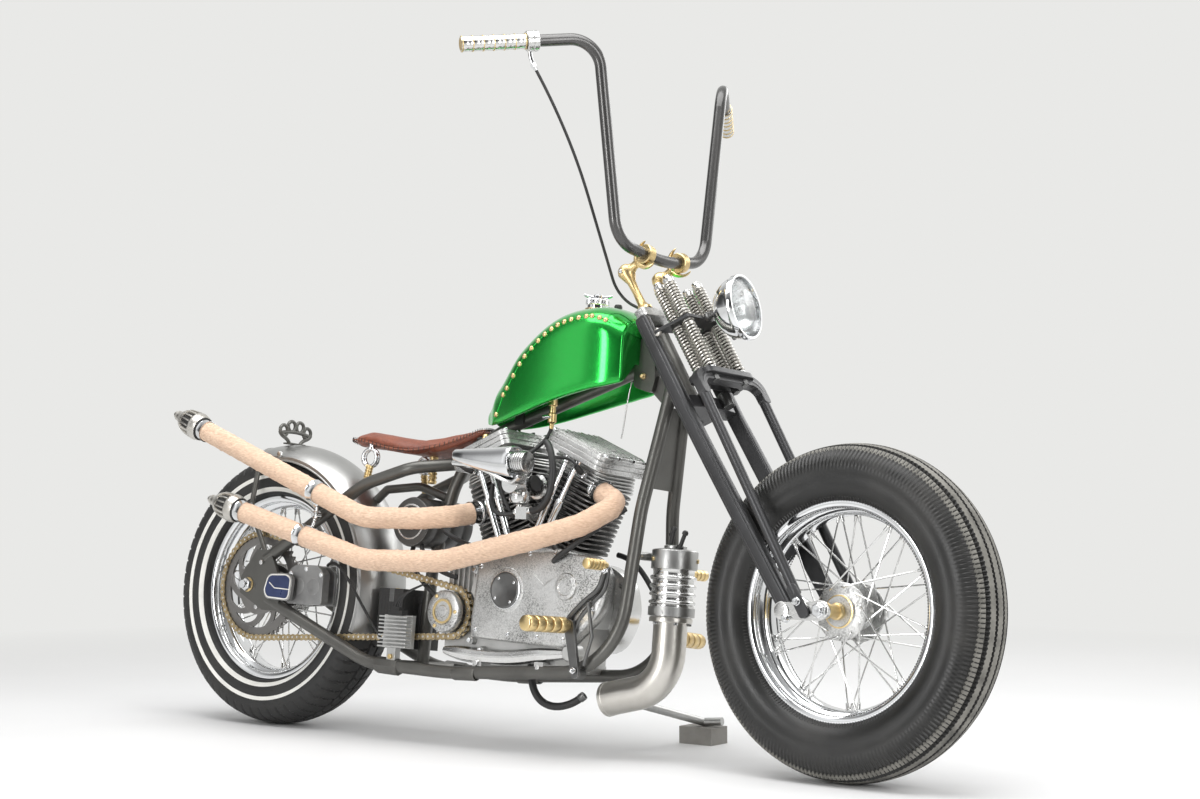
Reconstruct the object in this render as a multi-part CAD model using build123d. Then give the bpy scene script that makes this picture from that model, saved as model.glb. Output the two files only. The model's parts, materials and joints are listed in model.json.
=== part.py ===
from build123d import *
import math
import os

# Chopper motorcycle: rigid steel frame, 45 degree V-twin, springer fork, tall handlebar, two fat tyres.
# Everything is drawn with the machine upright and the fork straight ahead, in millimetres:
#   X forward, Y to the rider's left, Z up, origin on the ground under the rear axle.
# The finished pieces are then turned as the machine parks: fork a little to the right, leaning on its
# side stand. Last, all of them are moved so that the origin is the centre of the footprint.

# ---------------------------------------------------------------- driving dimensions
wheelbase = 1560.0
rake = 33.4                    # steering axis, degrees back from upright
fork_offset = 125.0            # front axle ahead of the steering axis
lean = 6.64                    # parked on the side stand, degrees to the left
parked_steer = -2.7            # degrees, negative is to the right

seam = 0.3                     # gap between rounded pieces that touch
bearing_gap = 2.0              # end play at the steering bearings
swing_gap = 6.0                # least gap round what turns

front_tyre_radius = 331.6
rear_tyre_radius = 319.1
tyre_half_width = 67.2
crown_radius = 105.0           # of the tread, across the tyre
crown_half_width = 36.0
tyre_skin = 10.0
bead_radius = 205.0
bead_half_width = 46.0
rim_lip_radius = 217.0
rim_lip_half_width = 49.0
rim_skin = 3.0
rim_well_radius = 190.0
rim_well_half_width = 20.0
spoke_count = 40
spoke_radius = 2.2
spoke_lead = 62.0              # degrees that a spoke runs round the hub
hub_barrel_radius = 30.0
hub_flange_radius = 56.0
hub_flange_thickness = 6.0
hub_flange_offset = 34.0
hub_half_width = 46.0
axle_radius = 9.5

frame_tube = 14.0              # radius
rail_bend = 150.0              # of the down tube into the lower rail
neck_radius = 24.0
stem_radius = 12.7
neck_bottom = 572.0            # measured along the steering axis
neck_top = 764.0
gusset_thickness = 5.0
axle_plate_y = 121.0           # inner face
axle_plate_thickness = 9.0

sprocket_teeth = 48
small_sprocket_teeth = 21
chain_pitch = 15.875
chain_y = -90.0
sprocket_x = 600.0
sprocket_z = 284.0
sprocket_thickness = 7.0
chain_plate = 1.6
chain_inner_width = 10.6
chain_height = 17.0
chain_web = 2.0                # closing the channel on the outside
disc_gap = 2.0

fender_clearance = 28.9        # between tread and guard
fender_radius = rear_tyre_radius + fender_clearance
fender_half_width = 76.0
fender_skin = 2.5
fender_crown_drop = 6.0         # of the crown line below the outer radius
strut_radius = 6.0
fender_side_depth = 50.0       # of the turned-down sides
fender_side_radius = fender_radius - fender_side_depth
fender_start = -13.0           # degrees from straight up, backwards is negative
fender_end = 108.0

crank_x = 778.0
crank_z = 318.0
vee_half_angle = 22.5
vee = (-vee_half_angle, vee_half_angle)
case_half_width = 88.0
case_radius = 128.0
case_low = 186.0
gearbox_right = -76.0          # y of the gearbox's right face
cylinder_foot = 138.0          # along the bore, from the crankshaft
head_seat = 290.0
head_height = 42.0
rocker_height = 44.0
barrel_radius = 52.0
fin_radius = 82.0
fin_half_width = 70.0
fin_count = 9
fin_thickness = 4.0
head_half_length = 84.0
head_half_width = 72.0
pushrod_y = -86.0
pushrod_radius = 8.0

leg_y = 86.0                   # rear fork legs
front_leg_y = 104.0
leg_depth = 30.0
leg_width = 20.0
front_leg_radius = 11.0
rocker_inner_y = leg_y + leg_width / 2 + seam
rocker_thickness = 10.0
perch_low = 571.0
perch_thickness = 15.0
spring_y = 50.0
spring_rows = (83.0, 111.0)    # ahead of the steering axis
spring_radius = 12.0
strap_low = 708.0
strap_thickness = 7.0
spring_top = 826.0
tree_low = 532.0               # lower tree, along the steering axis
tree_high = neck_bottom - bearing_gap
top_tree_low = neck_top + bearing_gap
top_tree_high = top_tree_low + 22.0
tree_boss_radius = 27.0
tree_back = 22.0               # ahead of the steering axis
tree_front = 50.0

stand_radius = 9.0
stand_knuckle = 9.5            # half its length along the pivot
toe_lift = 4.0                 # of the foot bar's end, clear of the block as the stand folds
bar_radius = 12.7
riser_y = 58.0
pipe_radius = 24.0
pipe_y = -178.0
rear_pipe_y = -164.0
pod_radius = 49.0
pod_x = 1124.0
pod_low = 302.0
tunnel_gap = 4.0
fork_sweep = 112.0             # degrees from straight ahead that the fork's back corners reach
fork_sweep_radius = 116.0

# ---------------------------------------------------------------- small tools
RAKE = math.radians(rake)
FORK_UP = Vector(-math.sin(RAKE), 0, math.cos(RAKE))
FORK_AHEAD = Vector(math.cos(RAKE), 0, math.sin(RAKE))
REAR_AXLE = Vector(0, 0, rear_tyre_radius)
FRONT_AXLE = Vector(wheelbase, 0, front_tyre_radius)
FORK_FOOT = FRONT_AXLE - FORK_AHEAD * fork_offset


def fork_point(up, ahead, y=0.0):
    """A point given along the steering axis, ahead of it and to the left."""
    return FORK_FOOT + FORK_UP * up + FORK_AHEAD * ahead + Vector(0, y, 0)


def rod(start, end, radius):
    start, end = Vector(*start), Vector(*end)
    run = end - start
    place = Plane(origin=start, z_dir=run)
    return place * Cylinder(radius, run.length, align=(Align.CENTER, Align.CENTER, Align.MIN))


def tube(points, radius, bends):
    """Straight runs joined by tangent arcs, as a solid round bar."""
    if len(points) == 2:
        return rod(points[0], points[1], radius)
    path = FilletPolyline(*[tuple(p) for p in points], radius=bends)
    section = Plane(origin=path @ 0, z_dir=path % 0) * Circle(radius)
    return sweep(section, path=path)


def block(x0, x1, y0, y1, z0, z1):
    return Pos((x0 + x1) / 2, (y0 + y1) / 2, (z0 + z1) / 2) * Box(x1 - x0, y1 - y0, z1 - z0)


def side_plate(outline, y0, y1):
    """A flat plate whose outline is given as (x, z) points, between two values of y."""
    face = Plane.XZ.offset(-y1) * make_face(Polyline(*outline, close=True))
    return extrude(face, amount=y1 - y0)


def fork_plate(outline, y0, y1):
    """A flat plate beside the fork whose outline is given as (up, ahead) points."""
    points = [fork_point(up, ahead) for up, ahead in outline]
    return side_plate([(p.X, p.Z) for p in points], y0, y1)


def fork_slab(low, high, outline):
    """A slab across the fork: outline as (ahead, y) points, between two heights along the axis."""
    place = Plane(origin=fork_point(low, 0), x_dir=FORK_AHEAD, z_dir=FORK_UP)
    return extrude(place * make_face(Polyline(*outline, close=True)), amount=high - low)


def cross_rod(x, z, y0, y1, radius):
    return rod((x, y0, z), (x, y1, z), radius)


def ring(x, z, y0, y1, outer, inner):
    return cross_rod(x, z, y0, y1, outer) - cross_rod(x, z, y0 - 1, y1 + 1, inner)


def turned(outline, centre):
    """A body turned about the wheel axle, from (radius, y) points joined by straight lines."""
    face = make_face(Polyline(*[(r, y) for r, y in outline], close=True))
    body = revolve(face, Axis.Y)
    return Pos(*centre) * body


def mirrored(shape):
    return mirror(shape, Plane.XZ)


def both_sides(shape):
    return Compound([shape, mirrored(shape)])


# ---------------------------------------------------------------- wheels
def tyre(radius, centre):
    """Flat-topped tread, round shoulders and full sides, down to the beads on the rim."""
    edge = radius - (crown_radius - math.sqrt(crown_radius ** 2 - crown_half_width ** 2))
    middle = (radius + bead_radius) / 2 - 4
    crown = ThreePointArc((edge, -crown_half_width), (radius, 0), (edge, crown_half_width))
    shoulder_y = (crown_half_width + tyre_half_width) / 2 + 7
    shoulder_r = (edge + middle) / 2 + 14
    left = ThreePointArc(crown @ 1, (shoulder_r, shoulder_y), (middle, tyre_half_width))
    wall = ThreePointArc(left @ 1, (middle - 34, tyre_half_width - 7), (bead_radius + 12, bead_half_width))
    seat = Polyline(wall @ 1, (bead_radius + seam, bead_half_width), (bead_radius + seam, 0))
    half = [left, wall, seat]
    other = [mirror(edge_line, Plane.XZ) for edge_line in half]
    face = make_face([crown] + half + other)
    low, high = bead_radius + 20, radius - tyre_skin
    air_corner = min(34, (high - low) / 2 - 1)
    air = Pos((low + high) / 2, 0) * RectangleRounded(high - low, 2 * (tyre_half_width - tyre_skin), air_corner)
    mouth = Pos(bead_radius + 20, 0) * Rectangle(60, 58)
    return Pos(*centre) * revolve(face - air - mouth, Axis.Y)


def rim(centre):
    lip, y = rim_lip_radius, rim_lip_half_width
    outer = [(lip, -y), (lip, -bead_half_width - seam), (bead_radius, -bead_half_width - seam), (bead_radius, -26),
             (rim_well_radius + rim_skin, -rim_well_half_width)]
    inner = [(rim_well_radius, -rim_well_half_width + 2), (bead_radius - rim_skin, -28), (bead_radius - rim_skin, -y)]
    half = outer + [(r, -v) for r, v in reversed(outer)]
    under = [(r, v) for r, v in reversed(inner)] + [(r, -v) for r, v in inner]
    return turned(half[::-1] + under, centre)


def wheel_core(centre):
    """Hub barrel with two flanges, and the crossed spokes that lie against the flanges."""
    flange_in = hub_flange_offset - hub_flange_thickness / 2
    flange_out = hub_flange_offset + hub_flange_thickness / 2
    half = [(hub_barrel_radius, 0), (hub_barrel_radius, flange_in), (hub_flange_radius, flange_in),
            (hub_flange_radius, flange_out), (hub_barrel_radius, flange_out), (hub_barrel_radius, hub_half_width)]
    outline = half + [(axle_radius + seam, hub_half_width)]
    outline += [(r, -y) for r, y in reversed(outline)]
    hub = turned(outline[:-1], centre)
    spokes = []
    inner, outer = hub_flange_radius - 8, rim_well_radius - 0.9
    for number in range(spoke_count):
        side = 1 if number % 2 else -1
        outside = number % 4 < 2
        lead = spoke_lead if outside else -spoke_lead
        start = math.radians(360.0 * number / spoke_count)
        end = start + math.radians(lead)
        face_y = flange_out + spoke_radius + seam if outside else flange_in - spoke_radius - seam
        a = Vector(inner * math.sin(start), side * face_y, inner * math.cos(start))
        b = Vector(outer * math.sin(end), side * 8, outer * math.cos(end))
        spokes.append(Pos(*centre) * rod(a, b, spoke_radius))
    return Compound([hub] + spokes)


def sprocket(centre, teeth, thickness, bore, y):
    """Chain wheel: a polygon of teeth round a plate, with a row of curved windows."""
    pitch_radius = chain_pitch / 2 / math.sin(math.pi / teeth)
    root, tip = pitch_radius - 5.2, pitch_radius + chain_height / 2 - chain_web - seam
    points = []
    for number in range(teeth):
        for share, radius in ((-0.32, root), (-0.12, tip), (0.12, tip), (0.32, root)):
            angle = 2 * math.pi * (number + 0.5 + share) / teeth
            points.append((centre.X + radius * math.sin(angle), centre.Z + radius * math.cos(angle)))
    plate = side_plate(points, y - thickness / 2, y + thickness / 2)
    return plate - cross_rod(centre.X, centre.Z, y - thickness, y + thickness, bore)


def rear_sprocket():
    """Drive wheel and brake disc in one plate, on a boss beside the hub."""
    y = chain_y
    plate = sprocket(REAR_AXLE, sprocket_teeth, sprocket_thickness, axle_radius + seam, y)
    for number in range(9):
        angle = 360.0 * number / 9
        slot = Pos(0, 0, 84) * Rot(90, 0, 0) * SlotOverall(38, 14)
        slot = extrude(slot, amount=sprocket_thickness, both=True)
        plate -= Pos(REAR_AXLE.X, y, REAR_AXLE.Z) * Rot(0, angle, 0) * slot
    inner = -hub_half_width - seam
    boss = ring(REAR_AXLE.X, REAR_AXLE.Z, y + sprocket_thickness / 2 - 0.5, inner, 34, axle_radius + seam)
    return plate + boss


def chain_loop():
    """Roller chain as one closed channel round both sprockets, open towards their teeth."""
    big = chain_pitch / 2 / math.sin(math.pi / sprocket_teeth)
    small = chain_pitch / 2 / math.sin(math.pi / small_sprocket_teeth)
    a, b = (REAR_AXLE.X, REAR_AXLE.Z), (sprocket_x, sprocket_z)

    def belt(grow):
        return make_hull([Pos(*a) * Circle(big + grow).edge(), Pos(*b) * Circle(small + grow).edge()])

    def loop(inner, outer, y0, y1):
        place = Plane.XZ.offset(-y1)
        return extrude(place * (belt(outer) - belt(inner)), amount=y1 - y0)

    half = chain_inner_width / 2 + chain_plate
    body = loop(-chain_height / 2, chain_height / 2, chain_y - half, chain_y + half)
    gutter = loop(-chain_height, chain_height / 2 - chain_web, chain_y - half + chain_plate, chain_y + half - chain_plate)
    return body - gutter


def rear_axle():
    """Axle bar, its spacers up to the axle plates, and the nuts outside them."""
    x, z = REAR_AXLE.X, REAR_AXLE.Z
    outer = axle_plate_y + axle_plate_thickness
    bar = cross_rod(x, z, -outer - 22, outer + 22, axle_radius)
    left = ring(x, z, hub_half_width + seam, axle_plate_y - seam, 17, axle_radius - 1)
    right_in = chain_y - sprocket_thickness / 2 - seam
    right = ring(x, z, -axle_plate_y + seam, right_in, 17, axle_radius - 1)
    nuts = [cross_rod(x, z, side * (outer + seam), side * (outer + 14), 17) for side in (-1, 1)]
    return bar + left + right + nuts[0] + nuts[1]


# ---------------------------------------------------------------- frame
# x, y, z of the right side, z rising to the front; the left side is its mirror image
rail_route = ((1107, -24, 790), (1070, -56, 520), (1063, -98, 180), (620, -110, 153), (385, -114, 160),
              (58, -118, REAR_AXLE.Z - 31.1))
stay_route = ((528, -8, 618), (452, -92, 600), (330, -112, 560), (44, -118, REAR_AXLE.Z + 62.9))
fender_bar_stand = 32.4         # above the guard
fender_bar_end = REAR_AXLE + Vector(fender_radius + fender_bar_stand, 0, 0).rotate(Axis.Y, -38.907)
fender_bar_route = ((483, 0, 540), (400, 0, 566), (fender_bar_end.X, 0, fender_bar_end.Z))
fender_bar_radius = 10.0
spine_route = ((1060, 0, 842), (625, 0, 690), (538, 0, 634), (500, 0, 560), (454, 0, 380), (446, 0, 160))


def head_tube():
    return rod(fork_point(neck_bottom, 0), fork_point(neck_top, 0), neck_radius)


def frame_rail():
    """Down tube, its bend under the engine, and the lower rail back to the axle plate."""
    return tube(rail_route, frame_tube, (400, rail_bend, 800, 250)) - head_tube()


def axle_plate():
    """Plate that carries the axle, welded between the rail's end and the stay's end."""
    outline = ((-26, -19.1), (-26, 18.9), (20, 82.9), (62, 82.9), (104, 10.9), (104, -57.1), (52, -57.1))
    plate = Pos(*REAR_AXLE) * side_plate(outline, -axle_plate_y - axle_plate_thickness, -axle_plate_y)
    return plate - cross_rod(REAR_AXLE.X, REAR_AXLE.Z, -axle_plate_y - 20, -axle_plate_y + 20, axle_radius + seam)


def frame_side():
    return frame_rail() + axle_plate()


def left_frame_side():
    """Mirror image of the right side, with the boss that the stand turns on."""
    side = mirrored(frame_side())
    boss = rod(stand_pivot + stand_axis * (stand_knuckle + seam), stand_pivot + stand_axis * 60, 12)
    return side + boss


def seat_stay():
    end = tube(stay_route, frame_tube, (70, 160))
    return end - axle_plate() - backbone()


def backbone(radius=frame_tube):
    """Top tube under the tank, over the rear rocker box and down as the seat post."""
    return tube(spine_route, radius, (260, 70, 160, 200))


def neck_and_backbone():
    """Head tube with its bore, the backbone, the sheet between the down tubes and the rails' cross tube."""
    cross = cross_rod(spine_route[-1][0], rail_route[4][2], -105, 105, 12) - both_sides(frame_rail())
    gusset = side_plate(((1112, 742), (1066, 748), (1002, 806), (1018, 836), (1100, 770)), -gusset_thickness / 2,
                        gusset_thickness / 2)
    fender_bar = tube(fender_bar_route, fender_bar_radius, (80,))
    bore = rod(fork_point(neck_bottom - 9, 0), fork_point(neck_top + 9, 0), stem_radius + seam)
    return head_tube() + backbone() + cross + gusset + fender_bar + fender_tab() + gusset_panel() - bore


def fender_tab():
    """Short foot between the fender's crown and the bar that holds it."""
    start = Vector(*fender_bar_route[-1])
    down = REAR_AXLE - start
    reach = down.length - (fender_radius - fender_crown_drop) - seam
    return rod(start, start + down.normalized() * reach, fender_bar_radius)


def gusset_panel():
    """Sheet closing the space between the two down tubes under the head tube."""
    top, bottom = Vector(1101, 0, 742), Vector(1076, 0, 566)
    place = Plane(origin=top, x_dir=(0, 1, 0), z_dir=(bottom - top).cross(Vector(0, 1, 0)))
    length = (bottom - top).length
    outline = ((-19, -4), (19, -4), (36.5, -length), (-36.5, -length))
    sheet = extrude(place * make_face(Polyline(*outline, close=True)), amount=gusset_thickness / 2, both=True)
    return sheet - both_sides(frame_rail())


# ---------------------------------------------------------------- tank, seat, fender
# x, half width, bottom z, top z, corner radius
tank_sections = ((604, 22, 704, 738, 14), (640, 50, 700, 790, 38), (720, 80, 715, 876, 62), (820, 98, 742, 940, 78),
                 (920, 102, 766, 958, 78), (1000, 88, 782, 934, 62), (1040, 58, 796, 902, 44))
cap_x, cap_y, cap_z = 865, 10, 975


def rounded_section(x, half_width, low, high, corner):
    place = Plane(origin=(x, 0, (low + high) / 2), x_dir=(0, 1, 0), z_dir=(1, 0, 0))
    limit = min(half_width, (high - low) / 2) - 1
    return place * RectangleRounded(2 * half_width, high - low, min(corner, limit))


def fuel_tank():
    """Tank over the backbone, notched in front where the fork turns."""
    body = loft([rounded_section(*row) for row in tank_sections])
    clear = frame_tube + tunnel_gap
    (x0, _, z0), (x1, _, z1) = spine_route[1], spine_route[0]
    tunnel = side_plate(((x0 - 90, z0 - 60), (x0 - 90, z0 - 26), (x0, z0 + clear + 2), (x1, z1 + clear + 2), (1100, 700)),
                        -clear, clear)
    edge = math.tan(math.radians(fork_sweep - 90)) * fork_sweep_radius
    swept = fork_slab(neck_bottom, spring_top, ((-6, 0), (-edge, fork_sweep_radius), (200, fork_sweep_radius),
                                                (200, -fork_sweep_radius), (-edge, -fork_sweep_radius)))
    around_neck = rod(fork_point(500, 0), fork_point(900, 0), neck_radius + swing_gap)
    around_tree = rod(fork_point(top_tree_low - swing_gap, 0), fork_point(900, 0), tree_boss_radius + swing_gap)
    return body - tunnel - swept - around_neck - around_tree


def tank_fittings():
    """Filler cap with its lever, the fuel tap under the right edge, and two rubbers between tank and backbone."""
    cap = Pos(cap_x, cap_y, cap_z - 18) * Cylinder(24, 40)
    lever = Pos(cap_x, cap_y, cap_z + 6) * Box(62, 14, 8)
    tap = rod((806, -46, 690), (806, -46, 760), 10)
    pieces = [(cap + lever) - fuel_tank(), (tap - fuel_tank()).solids().sort_by(Axis.Z)[0]]
    clear = frame_tube + tunnel_gap
    for x, level in ((690, 712), (960, 807)):
        pieces.append(block(x - 12, x + 12, -clear, clear, level - 8, level + 60) - backbone() - fuel_tank())
    return Compound(pieces)


seat_sections = ((236, 60, 652, 676, 11), (300, 104, 646, 684, 14), (400, 104, 640, 678, 14), (490, 66, 654, 684, 13),
                 (560, 40, 672, 690, 8), (590, 28, 686, 702, 7))


def seat_pan():
    return loft([rounded_section(*row) for row in seat_sections])


def seat_mounts():
    """Two hairpin springs under the back of the seat, its hinge block, and a spring post at the middle."""
    pieces = []
    for side in (-1, 1):
        y = side * 92
        coil = Pos(322, y, 619) * Rot(90, 0, 0) * Torus(19, 5)
        post = rod((322, y, 602), (322, y + side * 10, 556), 8)
        pieces += (coil + post - seat_stay() - mirrored(seat_stay()) - seat_pan()).solids().sort_by(Axis.Z)[-1:]
    nose = block(560, 580, -12, 12, 640, 700) - backbone(frame_tube + seam) - seat_pan()
    middle = rod((432, 0, 556), (432, 0, 660), 9) - neck_and_backbone() - seat_pan()
    pieces.append(nose.solids().filter_by(lambda solid: solid.center().Z < 700).sort_by(Axis.Z)[-1])
    pieces.append(middle.solids().sort_by(SortBy.VOLUME)[-1])
    return Compound(pieces)


def rear_fender():
    """Short curved guard over the rear tyre, one sheet with turned-down sides."""
    def section(skin):
        r, y, side = fender_radius - skin, fender_half_width - skin, fender_side_radius - (5 if skin else 0)
        shoulder = 40.0
        line = Polyline((side, -y), (r - shoulder, -y))
        arc = ThreePointArc(line @ 1, (r - fender_crown_drop, 0), (r - shoulder, y))
        return make_face([line, arc, Line(arc @ 1, (side, y)), Line((side, y), (side, -y))])
    sheet = section(0) - section(fender_skin)
    sweep_angle = fender_end - fender_start
    body = revolve(sheet, Axis.Y, revolution_arc=sweep_angle)
    # the section is drawn towards +X: turn it so that the guard starts behind the top of the wheel
    return Pos(*REAR_AXLE) * Rot(0, fender_start - 90, 0) * body


def fender_struts():
    pieces = []
    for side in (-1, 1):
        y = side * (fender_half_width + seam + strut_radius)
        axle = REAR_AXLE.Z
        route = ((-46, y, axle + fender_side_radius + 1.9), (-40, side * 104, axle + 180.9),
                 (36, side * 116, axle + 72.9))
        strut = tube(route, strut_radius, (60,))
        pieces += (strut - both_sides(seat_stay()) - both_sides(axle_plate())).solids().sort_by(Axis.Z)[-1:]
    return Compound(pieces)


def knuckle_loop():
    """Row of four finger ovals standing on the fender."""
    x, z = -20, REAR_AXLE.Z + fender_radius + 32.9
    body = Pos(x, 0, z) * Box(9, 112, 44)
    for number in range(4):
        y = -39 + 26 * number
        body -= Pos(x, y, z + 2) * Rot(0, 90, 0) * extrude(RectangleRounded(30, 18, 8), amount=10, both=True)
    post = block(x - 4.5, x + 4.5, -14, 14, REAR_AXLE.Z + fender_radius - fender_crown_drop + seam, z - 20)
    return body + post


# ---------------------------------------------------------------- engine
def bore_place(tilt, distance):
    """A plane across a cylinder's bore: tilt is in degrees forward of upright."""
    angle = math.radians(tilt)
    up = Vector(math.sin(angle), 0, math.cos(angle))
    origin = Vector(crank_x, 0, crank_z) + up * distance
    return Plane(origin=origin, x_dir=(math.cos(angle), 0, -math.sin(angle)), z_dir=up)


def other_half(tilt):
    """The space on the far side of the engine's middle plane from a cylinder."""
    side = 1 if tilt > 0 else -1
    return Pos(crank_x - side * (200 - seam), 0, crank_z + 200) * Box(400, 400, 600)


def crankcase():
    """Case with the gearbox behind it and two mounting bars that rest on the lower rails."""
    body = cross_rod(crank_x, crank_z, -case_half_width, case_half_width, case_radius)
    lower = block(crank_x - 118, crank_x + 118, -case_half_width, case_half_width, case_low, crank_z)
    gearbox = block(574, crank_x, gearbox_right, case_half_width, 210, 400)
    body = body + lower + gearbox
    for tilt in vee:
        mouth = bore_place(tilt, 60) * Cylinder(64, cylinder_foot - 60, align=(Align.CENTER, Align.CENTER, Align.MIN))
        body += mouth - other_half(tilt)
    for x, low in ((700, 160), (870, 170)):
        body += block(x - 12, x + 12, -110, 110, low, case_low + 4)
    sprocket_room = cross_rod(sprocket_x, sprocket_z, -case_half_width - 1, gearbox_right, 69)
    return body - both_sides(frame_rail()) - sprocket_room


def cylinder(tilt):
    """Finned barrel, its fins cut back where the two cylinders meet in the vee."""
    height = head_seat - cylinder_foot
    place = bore_place(tilt, cylinder_foot + seam)
    body = place * Cylinder(barrel_radius, height - 2 * seam, align=(Align.CENTER, Align.CENTER, Align.MIN))
    pitch = (height - 16.0) / fin_count
    for number in range(fin_count):
        level = cylinder_foot + 12 + pitch * number
        fin = extrude(RectangleRounded(2 * fin_radius, 2 * fin_half_width, 34), amount=fin_thickness)
        body += bore_place(tilt, level) * fin
    return (body - other_half(tilt)).solids().sort_by(SortBy.VOLUME)[-1]


def cylinder_head(tilt):
    """Head and rocker box; the box reaches out on the right over the pushrod tubes."""
    place = bore_place(tilt, head_seat)
    base = extrude(RectangleRounded(2 * head_half_length - 8, 2 * head_half_width, 26), amount=head_height)
    reach = head_half_width + head_half_width + 26
    box = extrude(Pos(0, head_half_width - reach / 2) * RectangleRounded(2 * head_half_length, reach, 20),
                  amount=rocker_height)
    return place * (base + Pos(0, 0, head_height) * box)


def pushrod_tubes():
    pieces = []
    for tilt in vee:
        for offset in (-15, 15):
            top = bore_place(tilt, head_seat + head_height - seam) * Pos(offset, pushrod_y, 0)
            low = Vector(crank_x + 1.6 * tilt + offset * 0.9, pushrod_y, 418)
            rise = rod(low, top.position, pushrod_radius) - crankcase() - gearcase_cover()
            pieces += rise.solids().sort_by(SortBy.VOLUME)[-1:]
    return Compound(pieces)


def gearcase_cover():
    """Timing side cover of the crankcase."""
    outline = ((678, 232), (690, 395), (760, 424), (905, 430), (1010, 415), (1046, 372), (1030, 300), (945, 222))
    cover = side_plate(outline, -128, -case_half_width - seam)
    return fillet(cover.edges().filter_by(Axis.Y), 16)


def points_cover():
    return cross_rod(780, 336, -128 - seam - 5, -128 - seam, 39)


def primary_cover():
    """Left side cover over clutch and primary chain."""
    outline = ((600, 240), (600, 360), (660, 400), (880, 412), (940, 380), (960, 300), (920, 220), (700, 200))
    cover = side_plate(outline, case_half_width + seam, 146)
    return fillet(cover.edges().filter_by(Axis.Y), 40)


def carburettor():
    x, z = crank_x + 26, 562
    return rod((x, -fin_half_width - seam, z), (x, -172, z), 23) - air_intake()


def air_intake():
    """Teardrop air scoop, its throat open to the front."""
    rows = ((660, 22, 17), (720, 27, 24), (800, 30, 32), (850, 32, 36))
    sections = []
    for x, half_y, half_z in rows:
        place = Plane(origin=(x, -182, 608 + (x - 660) * -0.02), x_dir=(0, 1, 0), z_dir=(1, 0, 0))
        sections.append(place * RectangleRounded(2 * half_y, 2 * half_z, min(half_y, half_z) - 2))
    return loft(sections)


# x, y, z
front_pipe_route = ((944, -44, 560), (1030, -82, 528), (985, -146, 478), (880, -172, 444), (640, pipe_y, 389),
                    (410, pipe_y, 385), (-8, pipe_y, 490))
rear_pipe_route = ((640, -66, 506), (618, -132, 490), (550, rear_pipe_y, 481), (380, rear_pipe_y, 480),
                   (-176, rear_pipe_y + 4, 684))


def front_exhaust():
    pipe = tube(front_pipe_route, pipe_radius, (30, 40, 90, 300, 260))
    return (pipe - cylinder(vee_half_angle) - cylinder_head(vee_half_angle)).solids().sort_by(SortBy.VOLUME)[-1]


def rear_exhaust():
    pipe = tube(rear_pipe_route, pipe_radius, (30, 60, 220))
    return (pipe - cylinder(-vee_half_angle)).solids().sort_by(SortBy.VOLUME)[-1]


def exhaust_tip(route):
    end, before = Vector(*route[-1]), Vector(*route[-2])
    run = (end - before).normalized()
    place = Plane(origin=end + run * seam, z_dir=run)
    low = (Align.CENTER, Align.CENTER, Align.MIN)
    collar = Cylinder(30, 34, align=low)
    cone = Pos(0, 0, 34) * Cone(28, 13, 62, align=low)
    knob = Pos(0, 0, 96) * Cylinder(9, 16, align=low)
    return place * (collar + cone + knob)


def oil_tank():
    """Round oil tank carried on the seat post, which passes through it."""
    return cross_rod(446, 480, -78, 78, 56) - backbone(frame_tube + seam)


def battery_box():
    """Battery in its box, with the lug that bolts it to the seat post."""
    return block(358, 431, -66, 66, 196, 330) + (block(425, 440, -11, 11, 225, 300) - backbone())


def regulator():
    """Finned voltage regulator on a foot over the right rail."""
    body = block(425, 500, -134, -104, 197, 262)
    for number in range(5):
        z = 204 + 11 * number
        body -= block(420, 505, -136, -126, z, z + 5)
    foot = block(448, 474, -124, -106, 168, 198)
    return body + foot - frame_rail()


def sprocket_cover():
    return cross_rod(sprocket_x, sprocket_z, -124, -106, 46)


def small_sprocket():
    centre = Vector(sprocket_x, 0, sprocket_z)
    wheel = sprocket(centre, small_sprocket_teeth, sprocket_thickness, 10, chain_y)
    return wheel + cross_rod(sprocket_x, sprocket_z, -106 + seam, gearbox_right - seam, 22)


def front_canister():
    """Upright ribbed canister ahead of the down tubes, with its cap and the bar that clamps it to them."""
    high = pod_low + 138
    body = Pos(pod_x, 0, pod_low) * Cylinder(pod_radius - 5, high - pod_low,
                                             align=(Align.CENTER, Align.CENTER, Align.MIN))
    for number in range(5):
        body += Pos(pod_x, 0, pod_low + 22 + 20 * number) * Cylinder(pod_radius, 8)
    cap = Pos(pod_x, 0, high) * Cylinder(pod_radius - 12, 20, align=(Align.CENTER, Align.CENTER, Align.MIN))
    clamp = cross_rod(1074, 424, -62, 62, 9)
    return body + cap + clamp - both_sides(frame_rail())


def collector_elbow():
    return tube(((pod_x, 0, pod_low - seam), (pod_x, 0, 158), (972, 0, 122)), 36, (92,))


def lower_hose():
    return tube(((806, -50, case_low - seam), (806, -50, 106), (905, -52, 104), (945, -45, 128)), 8, (30, 50))


# ---------------------------------------------------------------- foot controls
def right_controls():
    """Foot peg and brake pedal on one pivot, on a hanger from the right rail."""
    peg = rod((962, -131.5, 270), (948, -262, 268), 19)
    hanger = side_plate(((946, 262), (978, 270), (1000, 162), (976, 158)), -141, -130)
    foot = rod((988, -134, 172), (988, -106, 172), 11) - frame_rail()
    arm = side_plate(((946, 246), (976, 240), (1066, 388), (1048, 400)), -141, -130)
    pad = block(1010, 1080, -196, -132, 386, 408)
    return (peg + hanger + arm + pad + foot).solids().sort_by(SortBy.VOLUME)[-1]


def left_controls():
    peg = rod((1034, 96, 262), (1018, 262, 258), 19)
    arm = side_plate(((1010, 246), (1040, 240), (1060, 400), (1036, 400)), 130, 140)
    pad = rod((1046, 132, 400), (1046, 226, 400), 14)
    return (peg + arm + pad - mirrored(frame_rail()) - collector_elbow()).solids().sort_by(SortBy.VOLUME)[-1]


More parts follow.
